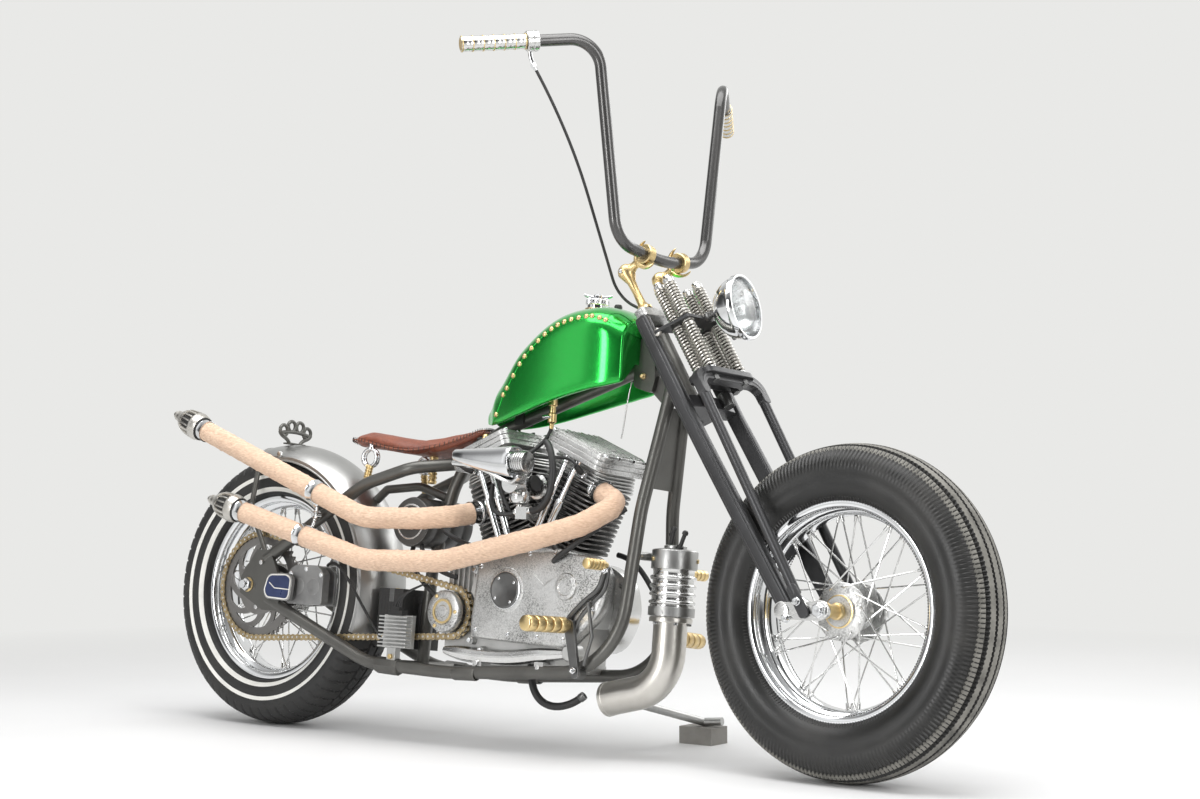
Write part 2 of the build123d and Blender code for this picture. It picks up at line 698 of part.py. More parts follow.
# ---------------------------------------------------------------- rear brake
def rear_caliper():
    """Brake caliper round the disc's rim, with the ear that bolts to the axle plate."""
    outer = -axle_plate_y + seam
    body = block(118, 232, outer, chain_y + 16.5, REAR_AXLE.Z - 39.1, REAR_AXLE.Z + 52.9)
    ear = block(70, 130, outer, outer + 11, REAR_AXLE.Z - 19.1, REAR_AXLE.Z + 32.9)
    slot = cross_rod(REAR_AXLE.X, REAR_AXLE.Z, chain_y - 8, chain_y + 8, 138)
    return body + ear - slot


# ---------------------------------------------------------------- springer fork
def fork_stem():
    """Steering stem with the lower and the top tree, welded between the rear legs."""
    stem = rod(fork_point(tree_low, 0), fork_point(top_tree_high + 14, 0), stem_radius)
    end = leg_y - leg_width / 2
    half = ((0, tree_boss_radius), (tree_back, 40), (tree_back, end), (tree_front, end))
    outline = half + tuple((ahead, -y) for ahead, y in reversed(half))
    for low, high in ((tree_low, tree_high), (top_tree_low, top_tree_high)):
        boss = rod(fork_point(low, 0), fork_point(high, 0), tree_boss_radius)
        stem += fork_slab(low, high, outline) + boss
    return stem


def rear_legs():
    """Two flat-sided rigid legs from the top tree down to the rocker pivots."""
    legs = []
    for side in (-1, 1):
        y0, y1 = sorted((side * (leg_y - leg_width / 2), side * (leg_y + leg_width / 2)))
        outline = ((top_tree_high, 20), (top_tree_high, 20 + leg_depth), (tree_low, 50), (48, 64), (40, 36), (63, 34),
                   (tree_low, 20))
        legs.append(fork_plate(outline, y0, y1))
    return Compound(legs)


def front_legs():
    """Sprung legs: two rods joined by the arched spring perch, with flat eyes at the rockers."""
    perch_high = perch_low + perch_thickness
    outline = ((66, -92), (66, 92), (94, 104), (128, 80), (128, -80), (94, -104))
    body = fork_slab(perch_low, perch_high, outline)
    for side in (-1, 1):
        y = side * front_leg_y
        body += rod(fork_point(perch_low + 4, 81, y), fork_point(56, 91, y), front_leg_radius)
        inner = rocker_inner_y + rocker_thickness + seam
        y0, y1 = sorted((side * inner, side * (inner + 7)))
        body += fork_plate(((74, 80), (74, 102), (6, 102), (6, 80)), y0, y1)
    return body


def fork_springs():
    """Four spring stacks on rods, standing on the perch and tied by the strap between the legs."""
    perch_high = perch_low + perch_thickness
    back = 20 + leg_depth + seam
    outer = leg_y + leg_width / 2
    strap = fork_slab(strap_low, strap_low + strap_thickness, ((back, -outer), (back, outer), (back + 14, outer),
                                                               (128, 66), (128, -66), (back + 14, -outer)))
    for side in (-1, 1):
        for ahead in spring_rows:
            low = fork_point(perch_high + seam, ahead, side * spring_y)
            high = fork_point(spring_top, ahead, side * spring_y)
            strap += rod(low, high, spring_radius)
    return strap


def rockers():
    plates = []
    for side in (-1, 1):
        y0, y1 = sorted((side * rocker_inner_y, side * (rocker_inner_y + rocker_thickness)))
        outline = ((66, 34), (66, 58), (30, 100), (16, 140), (-16, 140), (-16, 104), (10, 70), (40, 34))
        plate = fork_plate(outline, y0, y1)
        plates.append(plate - rod(fork_point(0, fork_offset, y0 - 1), fork_point(0, fork_offset, y1 + 1),
                                  axle_radius + seam))
    return Compound(plates)


def front_axle():
    """Axle with its spacers against the rockers and the nuts outside them."""
    x, z = FRONT_AXLE.X, FRONT_AXLE.Z
    outer = rocker_inner_y + rocker_thickness
    bar = cross_rod(x, z, -outer - 18, outer + 18, axle_radius)
    for side in (-1, 1):
        spacer = ring(x, z, *sorted((side * (hub_half_width + seam), side * (rocker_inner_y - seam))), 17,
                      axle_radius - 1)
        nut = cross_rod(x, z, side * (outer + seam), side * (outer + 12), 16)
        bar = bar + spacer + nut
    return bar


# x, y, z of the right half, from the middle of the bar outwards
bar_route = ((1048, 0, 1051), (1038, -150, 1074), (1014, -217, 1494), (853.7, -453, 1446.3))


def handlebar():
    """High narrow bar of one bent tube."""
    left = [(x, -y, z) for x, y, z in reversed(bar_route[1:])]
    points = left + [bar_route[0]] + list(bar_route[1:])
    return tube(points, bar_radius, (62, 68, 280, 68, 62))


def risers():
    """Dog-bone risers from the top tree to the clamps on the bar."""
    middle, corner = Vector(*bar_route[0]), Vector(*bar_route[1])
    along = (corner - middle).normalized()
    bar = middle + (corner - middle) * (riser_y / -bar_route[1][1])
    foot = fork_point(top_tree_high + seam, 34, -riser_y)
    knee = fork_point(890, 34, -riser_y)
    bone = rod(foot, knee, 10) + Pos(*knee) * Sphere(20) + rod(knee, bar, 9)
    clamp = rod(bar - along * 10, bar + along * 10, bar_radius + 9)
    right = bone + clamp - rod(bar - along * 50, bar + along * 50, bar_radius + seam)
    return both_sides(right)


def grips():
    pieces = []
    for side in (-1, 1):
        end = Vector(bar_route[3][0], side * 453, bar_route[3][2])
        inward = (Vector(bar_route[2][0], side * 217, bar_route[2][2]) - end).normalized()
        grip = rod(end - inward * 6, end + inward * 132, 17)
        pieces.append(grip - rod(end - inward * 2, end + inward * 140, bar_radius + seam))
    return Compound(pieces)


def throttle_housing():
    end = Vector(bar_route[3][0], -453, bar_route[3][2])
    inward = (Vector(bar_route[2][0], -217, bar_route[2][2]) - end).normalized()
    start = end + inward * 133
    body = rod(start, start + inward * 26, 22) - rod(start - inward, start + inward * 30, bar_radius + seam)
    return body


cable_radius = 3.2
cable_foot = 2.0               # its end is slanted: the low corner just clears the tree


def throttle_cable():
    low = fork_point(top_tree_high + cable_foot, tree_back + 4, -30)
    above = fork_point(top_tree_high + 84, -26, -34)
    return tube(((940, -330, 1418), (978, -250, 1290), above, low), cable_radius, (900, 60))


def headlight():
    """Small bullet lamp on a bracket bolted to the strap ahead of the springs."""
    tilt = math.radians(12.0)
    place = Plane(origin=(1262, 0, 946), x_dir=(0, 1, 0), z_dir=(math.cos(tilt), 0, math.sin(tilt)))
    rim_ring = place * Cylinder(70, 16)
    bowl = place * Pos(0, 0, -44) * Cone(34, 67, 72)
    arm_start = fork_point(strap_low + strap_thickness / 2, 128 + seam)
    arm = rod(arm_start, arm_start + FORK_AHEAD * 34, 8)
    rise = rod(arm_start + FORK_AHEAD * 28, (1248, 0, 900), 8)
    return rim_ring + bowl + arm + rise


# ---------------------------------------------------------------- parked pose
def lowest(axle, axis, radius):
    """Height of the lowest point of a tyre: a ring with a round crown."""
    return axle.Z - (radius - crown_radius) * math.sqrt(1 - axis.Z ** 2) - crown_radius


steer_plane = Plane(origin=FORK_FOOT, x_dir=FORK_AHEAD, z_dir=FORK_UP)
STEERED = steer_plane.location * Rot(0, 0, parked_steer) * steer_plane.location.inverse()


def place_on_ground():
    """Lean the machine and lower it until both tyres touch the ground."""
    pitch = 0.0
    for _ in range(6):
        tip = Rot(-lean, 0, 0) * Rot(0, pitch, 0)
        heights = []
        for turn, axle, radius in ((Location(), REAR_AXLE, rear_tyre_radius), (STEERED, FRONT_AXLE, front_tyre_radius)):
            whole = tip * turn
            centre = (whole * Pos(*axle)).position
            side = (whole * Pos(axle.X, 1, axle.Z)).position
            heights.append(lowest(centre, side - centre, radius))
        pitch += math.degrees((heights[1] - heights[0]) / wheelbase)
    return Pos(0, 0, -heights[0]) * tip


PARKED = place_on_ground()
block_low, block_high = (958, 296, 0), (1044, 358, 38)


def upright(point):
    """A point of the parked machine, in the upright drawing frame."""
    return (PARKED.inverse() * Pos(*point)).position


stand_pivot = Vector(955, 112, 118)
stand_foot = upright((1004, 324, block_high[2] + stand_radius + seam))
stand_folded = Vector(-1, 0.05, 0.05).normalized()
stand_out = (stand_foot - stand_pivot).normalized()
stand_axis = stand_out.cross(stand_folded).normalized()


def side_stand():
    """Leg that swings from the pivot under the left rail, with a foot bar at its end."""
    leg = rod(stand_pivot, stand_foot, stand_radius)
    knuckle = rod(stand_pivot - stand_axis * stand_knuckle, stand_pivot + stand_axis * stand_knuckle, 15)
    toe = upright((1050, 330, block_high[2] + stand_radius + toe_lift))
    return leg + knuckle + rod(stand_foot, toe, stand_radius) + Pos(*stand_foot) * Sphere(stand_radius)


def stand_block():
    (x0, y0, z0), (x1, y1, z1) = block_low, block_high
    return block(x0, x1, y0, y1, z0, z1)


# ---------------------------------------------------------------- the machine
ROOT, FORK = "root", "fork"
front, rear = FRONT_AXLE, REAR_AXLE

pieces = {
    "neck_and_backbone": (ROOT, neck_and_backbone()),
    "frame_rail_right": (ROOT, frame_side()),
    "frame_rail_left": (ROOT, left_frame_side()),
    "seat_stays": (ROOT, both_sides(seat_stay())),
    "fuel_tank": (ROOT, fuel_tank()),
    "tank_fittings": (ROOT, tank_fittings()),
    "seat": (ROOT, seat_pan()),
    "seat_mounts": (ROOT, seat_mounts()),
    "rear_fender": (ROOT, rear_fender()),
    "fender_struts": (ROOT, fender_struts()),
    "knuckle_loop": (ROOT, knuckle_loop()),
    "crankcase": (ROOT, crankcase()),
    "gearcase_cover": (ROOT, gearcase_cover()),
    "points_cover": (ROOT, points_cover()),
    "primary_cover": (ROOT, primary_cover()),
    "cylinders": (ROOT, Compound([cylinder(tilt) for tilt in vee])),
    "cylinder_heads": (ROOT, Compound([cylinder_head(tilt) for tilt in vee])),
    "pushrod_tubes": (ROOT, pushrod_tubes()),
    "carburettor": (ROOT, carburettor()),
    "air_intake": (ROOT, air_intake()),
    "front_exhaust": (ROOT, front_exhaust()),
    "rear_exhaust": (ROOT, rear_exhaust()),
    "exhaust_tips": (ROOT, Compound([exhaust_tip(front_pipe_route), exhaust_tip(rear_pipe_route)])),
    "oil_tank": (ROOT, oil_tank()),
    "battery_box": (ROOT, battery_box()),
    "regulator": (ROOT, regulator()),
    "small_sprocket": (ROOT, Compound([small_sprocket(), sprocket_cover()])),
    "drive_chain": (ROOT, chain_loop()),
    "rear_caliper": (ROOT, rear_caliper()),
    "rear_axle": (ROOT, rear_axle()),
    "front_canister": (ROOT, front_canister()),
    "collector_elbow": (ROOT, collector_elbow()),
    "lower_hose": (ROOT, lower_hose()),
    "right_controls": (ROOT, right_controls()),
    "left_controls": (ROOT, left_controls()),
    "side_stand": (ROOT, side_stand()),
    "rear_tyre": (ROOT, tyre(rear_tyre_radius, rear)),
    "rear_rim": (ROOT, rim(rear)),
    "rear_hub": (ROOT, wheel_core(rear)),
    "rear_sprocket": (ROOT, rear_sprocket()),
    "fork_stem": (FORK, fork_stem()),
    "rear_legs": (FORK, rear_legs()),
    "front_legs": (FORK, front_legs()),
    "fork_springs": (FORK, fork_springs()),
    "rockers": (FORK, rockers()),
    "front_axle": (FORK, front_axle()),
    "handlebar": (FORK, handlebar()),
    "risers": (FORK, risers()),
    "grips": (FORK, grips()),
    "throttle_housing": (FORK, throttle_housing()),
    "throttle_cable": (FORK, throttle_cable()),
    "headlight": (FORK, headlight()),
    "front_tyre": (FORK, tyre(front_tyre_radius, front)),
    "front_rim": (FORK, rim(front)),
    "front_hub": (FORK, wheel_core(front)),
}

parked = {}
for name, (part_of, shape) in pieces.items():
    parked[name] = PARKED * (STEERED * shape if part_of == FORK else shape)
parked["stand_block"] = stand_block()

whole_box = Compound(list(parked.values())).bounding_box()
to_footprint = Pos(-(whole_box.min.X + whole_box.max.X) / 2, -(whole_box.min.Y + whole_box.max.Y) / 2, -whole_box.min.Z)


def row_point(point, part_of=ROOT):
    """A point of the upright drawing, in the finished frame."""
    turn = PARKED * STEERED if part_of == FORK else PARKED
    return (to_footprint * turn * Pos(*point)).position


if __name__ == "__main__":
    os.makedirs("parts", exist_ok=True)
    for name, shape in parked.items():
        export_step(to_footprint * shape, f"parts/{name}.step")
    print("size", whole_box.size, "shift", to_footprint.position)
    print("front axle", row_point(FRONT_AXLE, FORK), "rear axle", row_point(REAR_AXLE))
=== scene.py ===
# %% [markdown]
# # Dressing a chopper
# A CAD model already fixes every tube, wheel and casting in its true place. This lesson adds what it leaves
# plain: tread and spokes, coils and fins, woven pipe wrap, worn leather, candy paint and polished metal.

# %% Load the fixed frame
import json
from math import (acos, atan2, copysign, cos, degrees, dist, exp, floor, hypot, pi, radians, sin, sqrt, tan)

import bmesh
import bpy
from mathutils import Matrix, Vector
from mathutils.bvhtree import BVHTree


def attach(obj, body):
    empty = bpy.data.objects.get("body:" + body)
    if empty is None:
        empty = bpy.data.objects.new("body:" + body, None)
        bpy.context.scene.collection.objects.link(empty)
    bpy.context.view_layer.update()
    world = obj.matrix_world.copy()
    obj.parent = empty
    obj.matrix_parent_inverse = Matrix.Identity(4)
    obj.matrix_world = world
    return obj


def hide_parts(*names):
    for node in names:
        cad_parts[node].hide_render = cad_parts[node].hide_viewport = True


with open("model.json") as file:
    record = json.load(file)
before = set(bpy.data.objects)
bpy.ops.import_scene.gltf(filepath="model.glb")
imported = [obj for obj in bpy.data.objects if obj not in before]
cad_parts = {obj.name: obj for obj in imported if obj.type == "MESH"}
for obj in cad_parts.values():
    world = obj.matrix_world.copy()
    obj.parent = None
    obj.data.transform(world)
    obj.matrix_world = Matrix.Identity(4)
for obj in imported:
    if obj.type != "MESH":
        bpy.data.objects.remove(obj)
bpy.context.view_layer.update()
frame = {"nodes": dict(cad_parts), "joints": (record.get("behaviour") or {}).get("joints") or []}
nodes = frame["nodes"]

# %% [markdown]
# The machine leans on its stand and its fork is turned a little, so nothing lies along an axis. Modelling
# is far easier on an upright machine: X forward from the rear axle, Y to the rider's left, Z up from the
# ground, in millimetres. The record's joints say where the axles and the steering axis really are. Two
# matrices made from them carry upright millimetres into the leaning frame: one for the frame, one for the
# fork.

# %% From upright millimetres to the leaning frame
RAKE = radians(33.4)
REAR_AXLE = Vector((0, 0, 319.1))
FRONT_AXLE = Vector((1560, 0, 331.6))
REAR_TYRE_RADIUS, FRONT_TYRE_RADIUS = REAR_AXLE.z, FRONT_AXLE.z
FORK_UP = Vector((-sin(RAKE), 0, cos(RAKE)))
FORK_AHEAD = Vector((cos(RAKE), 0, sin(RAKE)))
FORK_FOOT = FRONT_AXLE - FORK_AHEAD * 125
MM = 0.001
joints = {joint["name"]: joint for joint in frame["joints"]}


def leaning(axle, wheel_joint):
    """Matrix from upright millimetres to the frame's metres, from a wheel's axle and the steering axis."""
    across = Vector(joints[wheel_joint]["axis"]).normalized()
    up = Vector(joints["steering"]["axis"])
    up = (up - across * up.dot(across)).normalized()
    ahead = across.cross(up)
    x_axis = ahead * cos(RAKE) - up * sin(RAKE)
    z_axis = ahead * sin(RAKE) + up * cos(RAKE)
    turn = Matrix((x_axis, across, z_axis)).transposed() * MM
    matrix = turn.to_4x4()
    matrix.translation = Vector(joints[wheel_joint]["pos_m"]) - turn @ axle
    return matrix


PLACE = {"frame": leaning(REAR_AXLE, "rear_wheel_spin"), "fork": leaning(FRONT_AXLE, "front_wheel_spin")}
PLACE["rear_wheel"] = PLACE["side_stand"] = PLACE["frame"]
PLACE["front_wheel"] = PLACE["fork"]


def fork_point(up, ahead, y=0):
    """A point given along the steering axis, ahead of it and to the left."""
    return FORK_FOOT + FORK_UP * up + FORK_AHEAD * ahead + Vector((0, y, 0))


print("lean", [round(v, 3) for v in PLACE["frame"].to_euler()])

# %% [markdown]
# Most of a motorcycle is turned, bent or pressed. Four small builders cover that: one spins an outline, one
# sweeps a circle along a route, one thickens a flat outline, and one bridges a row of sections. Each
# returns plain points and faces, so several can be joined into one piece before Blender sees them.

# %% Builders of points and faces
def facing(origin, direction, near=(0, 0, 1)):
    """A place whose Z axis points along direction, its X axis as near as can be to near."""
    z = Vector(direction).normalized()
    x = Vector(near) - z * Vector(near).dot(z)
    x = x.normalized() if x.length > 1e-6 else z.orthogonal().normalized()
    place = Matrix((x, z.cross(x), z)).transposed().to_4x4()
    place.translation = Vector(origin)
    return place


def moved(place, x, y, z):
    """The same place, shifted along its own axes."""
    return place @ Matrix.Translation((x, y, z))


def turned(outline, place, steps=48, closed=False, wave=None):
    """Spin (radius, height) points about the place's Z axis; wave(angle, row) may add to the radius."""
    points, faces = [], []
    rows = len(outline)
    for step in range(steps):
        angle = 2 * pi * step / steps
        for row, (radius, height) in enumerate(outline):
            r = radius + (wave(angle, row) if wave else 0)
            points.append(place @ Vector((r * cos(angle), r * sin(angle), height)))
    for step in range(steps):
        here, there = step * rows, (step + 1) % steps * rows
        for row in range(rows if closed else rows - 1):
            after = (row + 1) % rows
            faces.append((here + row, there + row, there + after, here + after))
    if not closed:
        faces.append([step * rows for step in range(steps)][::-1])
        faces.append([step * rows + rows - 1 for step in range(steps)])
    return points, faces


def hoop(outline, place, steps=48):
    """Spin a closed outline, for a ring or a band."""
    return turned(outline, place, steps, closed=True)


def spun(at, direction, outline, sides=6):
    """Spin an outline about a line from at, along direction; six sides make a bolt's head."""
    return turned(outline, facing(at, direction), sides)


def skin(rows, size, closed=False):
    """Quads between rows of size points each; closed joins the last row to the first."""
    faces = []
    for row in range(rows if closed else rows - 1):
        here, there = row * size, (row + 1) % rows * size
        for n in range(size):
            after = (n + 1) % size
            faces.append((here + n, here + after, there + after, there + n))
    if not closed:
        faces += [list(range(size))[::-1], [(rows - 1) * size + n for n in range(size)]]
    return faces


def swept(route, radius, sides=20, closed=False):
    """Sweep a circle along a smooth row of points; radius may be a function of 0..1 and the angle."""
    route = [Vector(p) for p in route]
    count = len(route)
    size = radius if callable(radius) else (lambda share, angle: radius)
    points = []
    side = (route[1] - route[0]).normalized().orthogonal().normalized()
    for index, point in enumerate(route):
        before, after = route[index - 1] if index or closed else point, route[(index + 1) % count]
        if index == count - 1 and not closed:
            after = point
        ahead = (after - before).normalized()
        side = (side - ahead * side.dot(ahead)).normalized()
        up = ahead.cross(side)
        for number in range(sides):
            angle = 2 * pi * number / sides
            points.append(point + (side * cos(angle) + up * sin(angle)) * size(index / (count - 1), angle))
    return points, skin(count, sides, closed)


def plate(outline, place, thickness):
    """Thicken a flat outline of (x, y) points, upwards along the place's Z axis."""
    count = len(outline)
    points = [place @ Vector((x, y, z)) for z in (0, thickness) for x, y in outline]
    faces = [list(range(count))[::-1], list(range(count, 2 * count))]
    faces += [(n, (n + 1) % count, count + (n + 1) % count, count + n) for n in range(count)]
    return points, faces


def bridged(sections):
    """Skin over closed sections that all have the same number of points."""
    return [Vector(p) for section in sections for p in section], skin(len(sections), len(sections[0]))


def block(low, high, place=Matrix()):
    """A box between two corners."""
    (x0, y0, z0), (x1, y1, z1) = low, high
    return plate([(x0, y0), (x1, y0), (x1, y1), (x0, y1)], moved(place, 0, 0, z0), z1 - z0)


def rod(start, end, radius, sides=20):
    run = Vector(end) - Vector(start)
    return spun(start, run, [(radius, 0), (radius, run.length)], sides)


def route_with_bends(corners, bends, step=6):
    """Straight runs joined by arcs, as points about a step apart, for a bent tube."""
    corners = [Vector(c) for c in corners]
    points = [corners[0]]
    for corner, before, after, bend in zip(corners[1:-1], corners, corners[2:], bends):
        into, out = (corner - before).normalized(), (after - corner).normalized()
        turn = into.angle(out)
        cut = bend * tan(turn / 2)
        start, end = corner - into * cut, corner + out * cut
        centre = start + (out - into * into.dot(out)).normalized() * bend
        count = max(4, int(bend * turn / step))
        for number in range(count + 1):
            spoke = (start - centre).normalized().slerp((end - centre).normalized(), number / count)
            points.append(centre + spoke * bend)
    points.append(corners[-1])
    even = [points[0]]
    for a, b in zip(points, points[1:]):
        pieces = max(1, round((b - a).length / step))
        even += [a.lerp(b, n / pieces) for n in range(1, pieces + 1)]
    return even


def curve(steer, count=20):
    """Points along the smooth curve steered by four points."""
    a, b, c, d = (Vector(p) for p in steer)
    return [a * (1 - t) ** 3 + b * 3 * t * (1 - t) ** 2 + c * 3 * t * t * (1 - t) + d * t ** 3
            for t in (n / count for n in range(count + 1))]


def eased(a, b, c, d, t):
    """A value between b and c, on the smooth curve that also runs through a and d."""
    return 0.5 * (2 * b + (c - a) * t + (2 * a - 5 * b + 4 * c - d) * t * t
                  + (3 * b - a - 3 * c + d) * t ** 3)


def eased_path(corners, each=6, closed=False):
    """A smooth row of points through corners."""
    corners, path = [Vector(c) for c in corners], []
    count = len(corners)
    for n in range(count if closed else count - 1):
        near = [corners[(n + k) % count if closed else min(max(n + k, 0), count - 1)] for k in (-1, 0, 1, 2)]
        path += [eased(*near, step / each) for step in range(each)]
    return path if closed else path + [corners[-1]]


def circle(radius, count, start=0):
    """Even points round a circle from start degrees, as (x, y)."""
    turns = [radians(start) + 2 * pi * n / count for n in range(count)]
    return [(radius * cos(t), radius * sin(t)) for t in turns]


def rounded_outline(half_x, half_y, corner, steps=6):
    """A rectangle with round corners, as (x, y) points."""
    points = []
    for quarter, (sx, sy) in enumerate(((1, 1), (-1, 1), (-1, -1), (1, -1))):
        for step in range(steps + 1):
            angle = pi / 2 * (quarter + step / steps)
            points.append((sx * (half_x - corner) + corner * cos(angle),
                           sy * (half_y - corner) + corner * sin(angle)))
    return points


def smooth_outline(corners, radius=14, steps=5):
    """A polygon with its corners rounded by arcs, as (x, y) points."""
    corners = [Vector((*c, 0)) for c in corners]
    points = []
    for n, corner in enumerate(corners):
        into, out = corners[n - 1] - corner, corners[(n + 1) % len(corners)] - corner
        cut = min(radius, into.length * 0.45, out.length * 0.45)
        start, end = corner + into.normalized() * cut, corner + out.normalized() * cut
        for t in (step / steps for step in range(steps + 1)):
            points.append((start * (1 - t) ** 2 + corner * 2 * t * (1 - t) + end * t ** 2)[:2])
    return points


# %% [markdown]
# A piece is those shapes joined into one mesh, carried into the leaning frame, given its finishes and told
# which body it moves with. Rounded edges catch the light as real ones do, so most pieces get a small bevel.


def piece(name, stands_for=None, body="frame", bevel=0, smooth=35, subdivide=0, **finishes):
    """Join shapes into one object; each finish's name is given the shapes that wear it."""
    mesh = bpy.data.meshes.new(name)
    work = bmesh.new()
    for slot_number, (finish_name, members) in enumerate(finishes.items()):
        mesh.materials.append(FINISH[finish_name])
        for points, faces in members:
            made = [work.verts.new(PLACE[body] @ Vector(p)) for p in points]
            for face in faces:
                try:
                    work.faces.new([made[i] for i in face]).material_index = slot_number
                except ValueError:
                    continue
    bmesh.ops.remove_doubles(work, verts=work.verts, dist=2e-6)
    bmesh.ops.recalc_face_normals(work, faces=work.faces)
    work.to_mesh(mesh)
    work.free()
    thing = bpy.data.objects.new(name, mesh)
    bpy.context.collection.objects.link(thing)
    mesh.shade_smooth()
    if subdivide:
        softer = thing.modifiers.new("soften", "SUBSURF")
        softer.levels = softer.render_levels = subdivide
    if bevel:
        edge = thing.modifiers.new("edges", "BEVEL")
        edge.width, edge.segments, edge.limit_method = bevel * MM, 2, "ANGLE"
        edge.angle_limit = radians(smooth)
        edge.harden_normals = True
    mesh.set_sharp_from_angle(angle=radians(smooth))
    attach(thing, body)
    if stands_for:
        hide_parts(stands_for)
    finish_name = next(iter(finishes))
    print(name, len(mesh.polygons), "faces")
    return thing


# %% [markdown]
# ## Finishes
# Every finish is a Principled shader fed by a few shared node groups. The groups only make masks and
# values: worn edges, clouds and grain, scratches, engraving and a cloth wrap. A small helper keeps the node
# code short.

# %% Helper for node trees
class Tree:
    """Adds nodes to a tree; an input is a number, a colour or another node's output."""

    def __init__(self, tree):
        self.tree = tree

    def add(self, kind, inputs=(), **settings):
        node = self.tree.nodes.new("ShaderNode" + kind)
        for key, value in settings.items():
            setattr(node, key, value)
        for key, value in dict(inputs).items():
            if isinstance(value, bpy.types.NodeSocket):
                self.tree.links.new(value, node.inputs[key])
            else:
                node.inputs[key].default_value = value
        return node

    def math(self, operation, a, b=0, clamp=False):
        return self.add("Math", {0: a, 1: b}, operation=operation, use_clamp=clamp).outputs[0]

    def times(self, a, b):
        return self.math("MULTIPLY", a, b)

    def plus(self, a, b):
        return self.math("ADD", a, b)

    def ramp(self, value, low, high, to_low=0, to_high=1):
        return self.add("MapRange", {0: value, 1: low, 2: high, 3: to_low, 4: to_high}, clamp=True).outputs[0]

    def mix(self, share, a, b):
        return self.add("Mix", {0: share, 6: a, 7: b}, data_type="RGBA").outputs[2]

    def here(self):
        """Object coordinates, by which every pattern is laid out."""
        return self.add("TexCoord").outputs["Object"]

    def noise(self, scale, detail, place, rough=0.55, distortion=0):
        return self.add("TexNoise", {"Scale": scale, "Detail": detail, "Roughness": rough,
                                     "Distortion": distortion, "Vector": place}).outputs[0]

    def join(self, value, socket):
        self.tree.links.new(value, socket)

    def use(self, group, **inputs):
        """A shared group with its own values, as its outputs."""
        return self.add("Group", inputs, node_tree=group).outputs


def mask_group(name, inputs, make):
    """A shared node group with float inputs; make(tree, inside) returns its outputs by name."""
    group = bpy.data.node_groups.new(name, "ShaderNodeTree")
    for socket, value in inputs.items():
        group.interface.new_socket(socket, in_out="INPUT",
                                   socket_type="NodeSocketFloat").default_value = value
    outputs = make(Tree(group), group.nodes.new("NodeGroupInput").outputs)
    out = group.nodes.new("NodeGroupOutput")
    for socket, value in outputs.items():
        group.interface.new_socket(socket, in_out="OUTPUT", socket_type="NodeSocketFloat")
        group.links.new(value, out.inputs[socket])
    return group


# %% Shared masks
def surface_masks(tree, inside):
    """Clouds for slow changes, grain for fine ones, and thin scratches, all at one scale."""
    place = tree.here()
    clouds = tree.noise(inside["Scale"], 4, place)
    grain = tree.noise(tree.times(inside["Scale"], 28), 3, place)
    thin = tree.add("Mapping", {"Vector": place, "Rotation": (0.5, 0.9, 0.4), "Scale": (1, 22, 3)}).outputs[0]
    lines = tree.noise(tree.times(inside["Scale"], 6), 2, thin)
    return {"Clouds": tree.ramp(clouds, 0.3, 0.7), "Grain": tree.ramp(grain, 0.3, 0.7),
            "Scratches": tree.ramp(lines, 0.6, 0.72)}


def edge_mask(tree, inside):
    """Where edges are rubbed: a rounded normal differs from the true one there."""
    soft = tree.add("Bevel", {"Radius": inside["Radius"]}, samples=4).outputs[0]
    true = tree.add("NewGeometry").outputs["Normal"]
    same = tree.add("VectorMath", {0: soft, 1: true}, operation="DOT_PRODUCT").outputs["Value"]
    edge = tree.math("MULTIPLY", tree.math("SUBTRACT", 1, same), inside["Reach"], clamp=True)
    return {"Mask": tree.times(edge, tree.ramp(tree.noise(60, 4, tree.here()), 0.35, 0.6))}


def engraving_masks(tree, inside):
    """Scrolling cut lines: contour lines of a warped cloud, with stippled ground between them."""
    place = tree.here()
    field = tree.noise(inside["Scale"], 1, place, 0.4, 0.9)
    wave = tree.math("SINE", tree.times(field, tree.times(inside["Lines"], 6.283)))
    dots = tree.add("TexVoronoi", {"Scale": tree.times(inside["Scale"], 16), "Vector": place}).outputs[0]
    return {"Cut": tree.ramp(wave, 0.35, 0.75), "Stipple": tree.ramp(dots, 0.1, 0.4)}


def cloth_masks(tree, inside):
    """Fine wrinkles and threads of a heat wrap."""
    slant = tree.add("Mapping", {"Vector": tree.here(), "Rotation": (0, 0.6, 0), "Scale": (1, 1, 4)})
    threads = tree.add("TexWave", {"Vector": slant.outputs[0], "Scale": inside["Scale"], "Distortion": 3,
                                   "Detail": 2})
    return {"Threads": threads.outputs["Fac"], "Folds": tree.noise(tree.times(inside["Scale"], 0.35), 4,
            slant.outputs[0])}


SURFACE = mask_group("surface", {"Scale": 8}, surface_masks)
EDGES = mask_group("worn_edges", {"Radius": 0.0015, "Reach": 5}, edge_mask)
ENGRAVING = mask_group("engraving", {"Scale": 22, "Lines": 9}, engraving_masks)
CLOTH = mask_group("cloth", {"Scale": 300}, cloth_masks)


# %% [markdown]
# Most metals, paints and rubbers differ only in numbers, so one function makes them: a base colour that
# drifts to a second one in clouds, roughness that drifts as well, fine bump, and a third colour where edges
# are worn.

# %% Finish from numbers
FINISH = {}


def grey(value):
    return (value, value, value, 1)


def new_finish(name, fixed=()):
    """A new material's tree; fixed holds Principled sockets with one value all over."""
    material = FINISH[name] = bpy.data.materials.new(name)
    material.use_nodes = True
    for key, value in dict(fixed).items():
        material.node_tree.nodes["Principled BSDF"].inputs[key].default_value = value
    return Tree(material.node_tree)


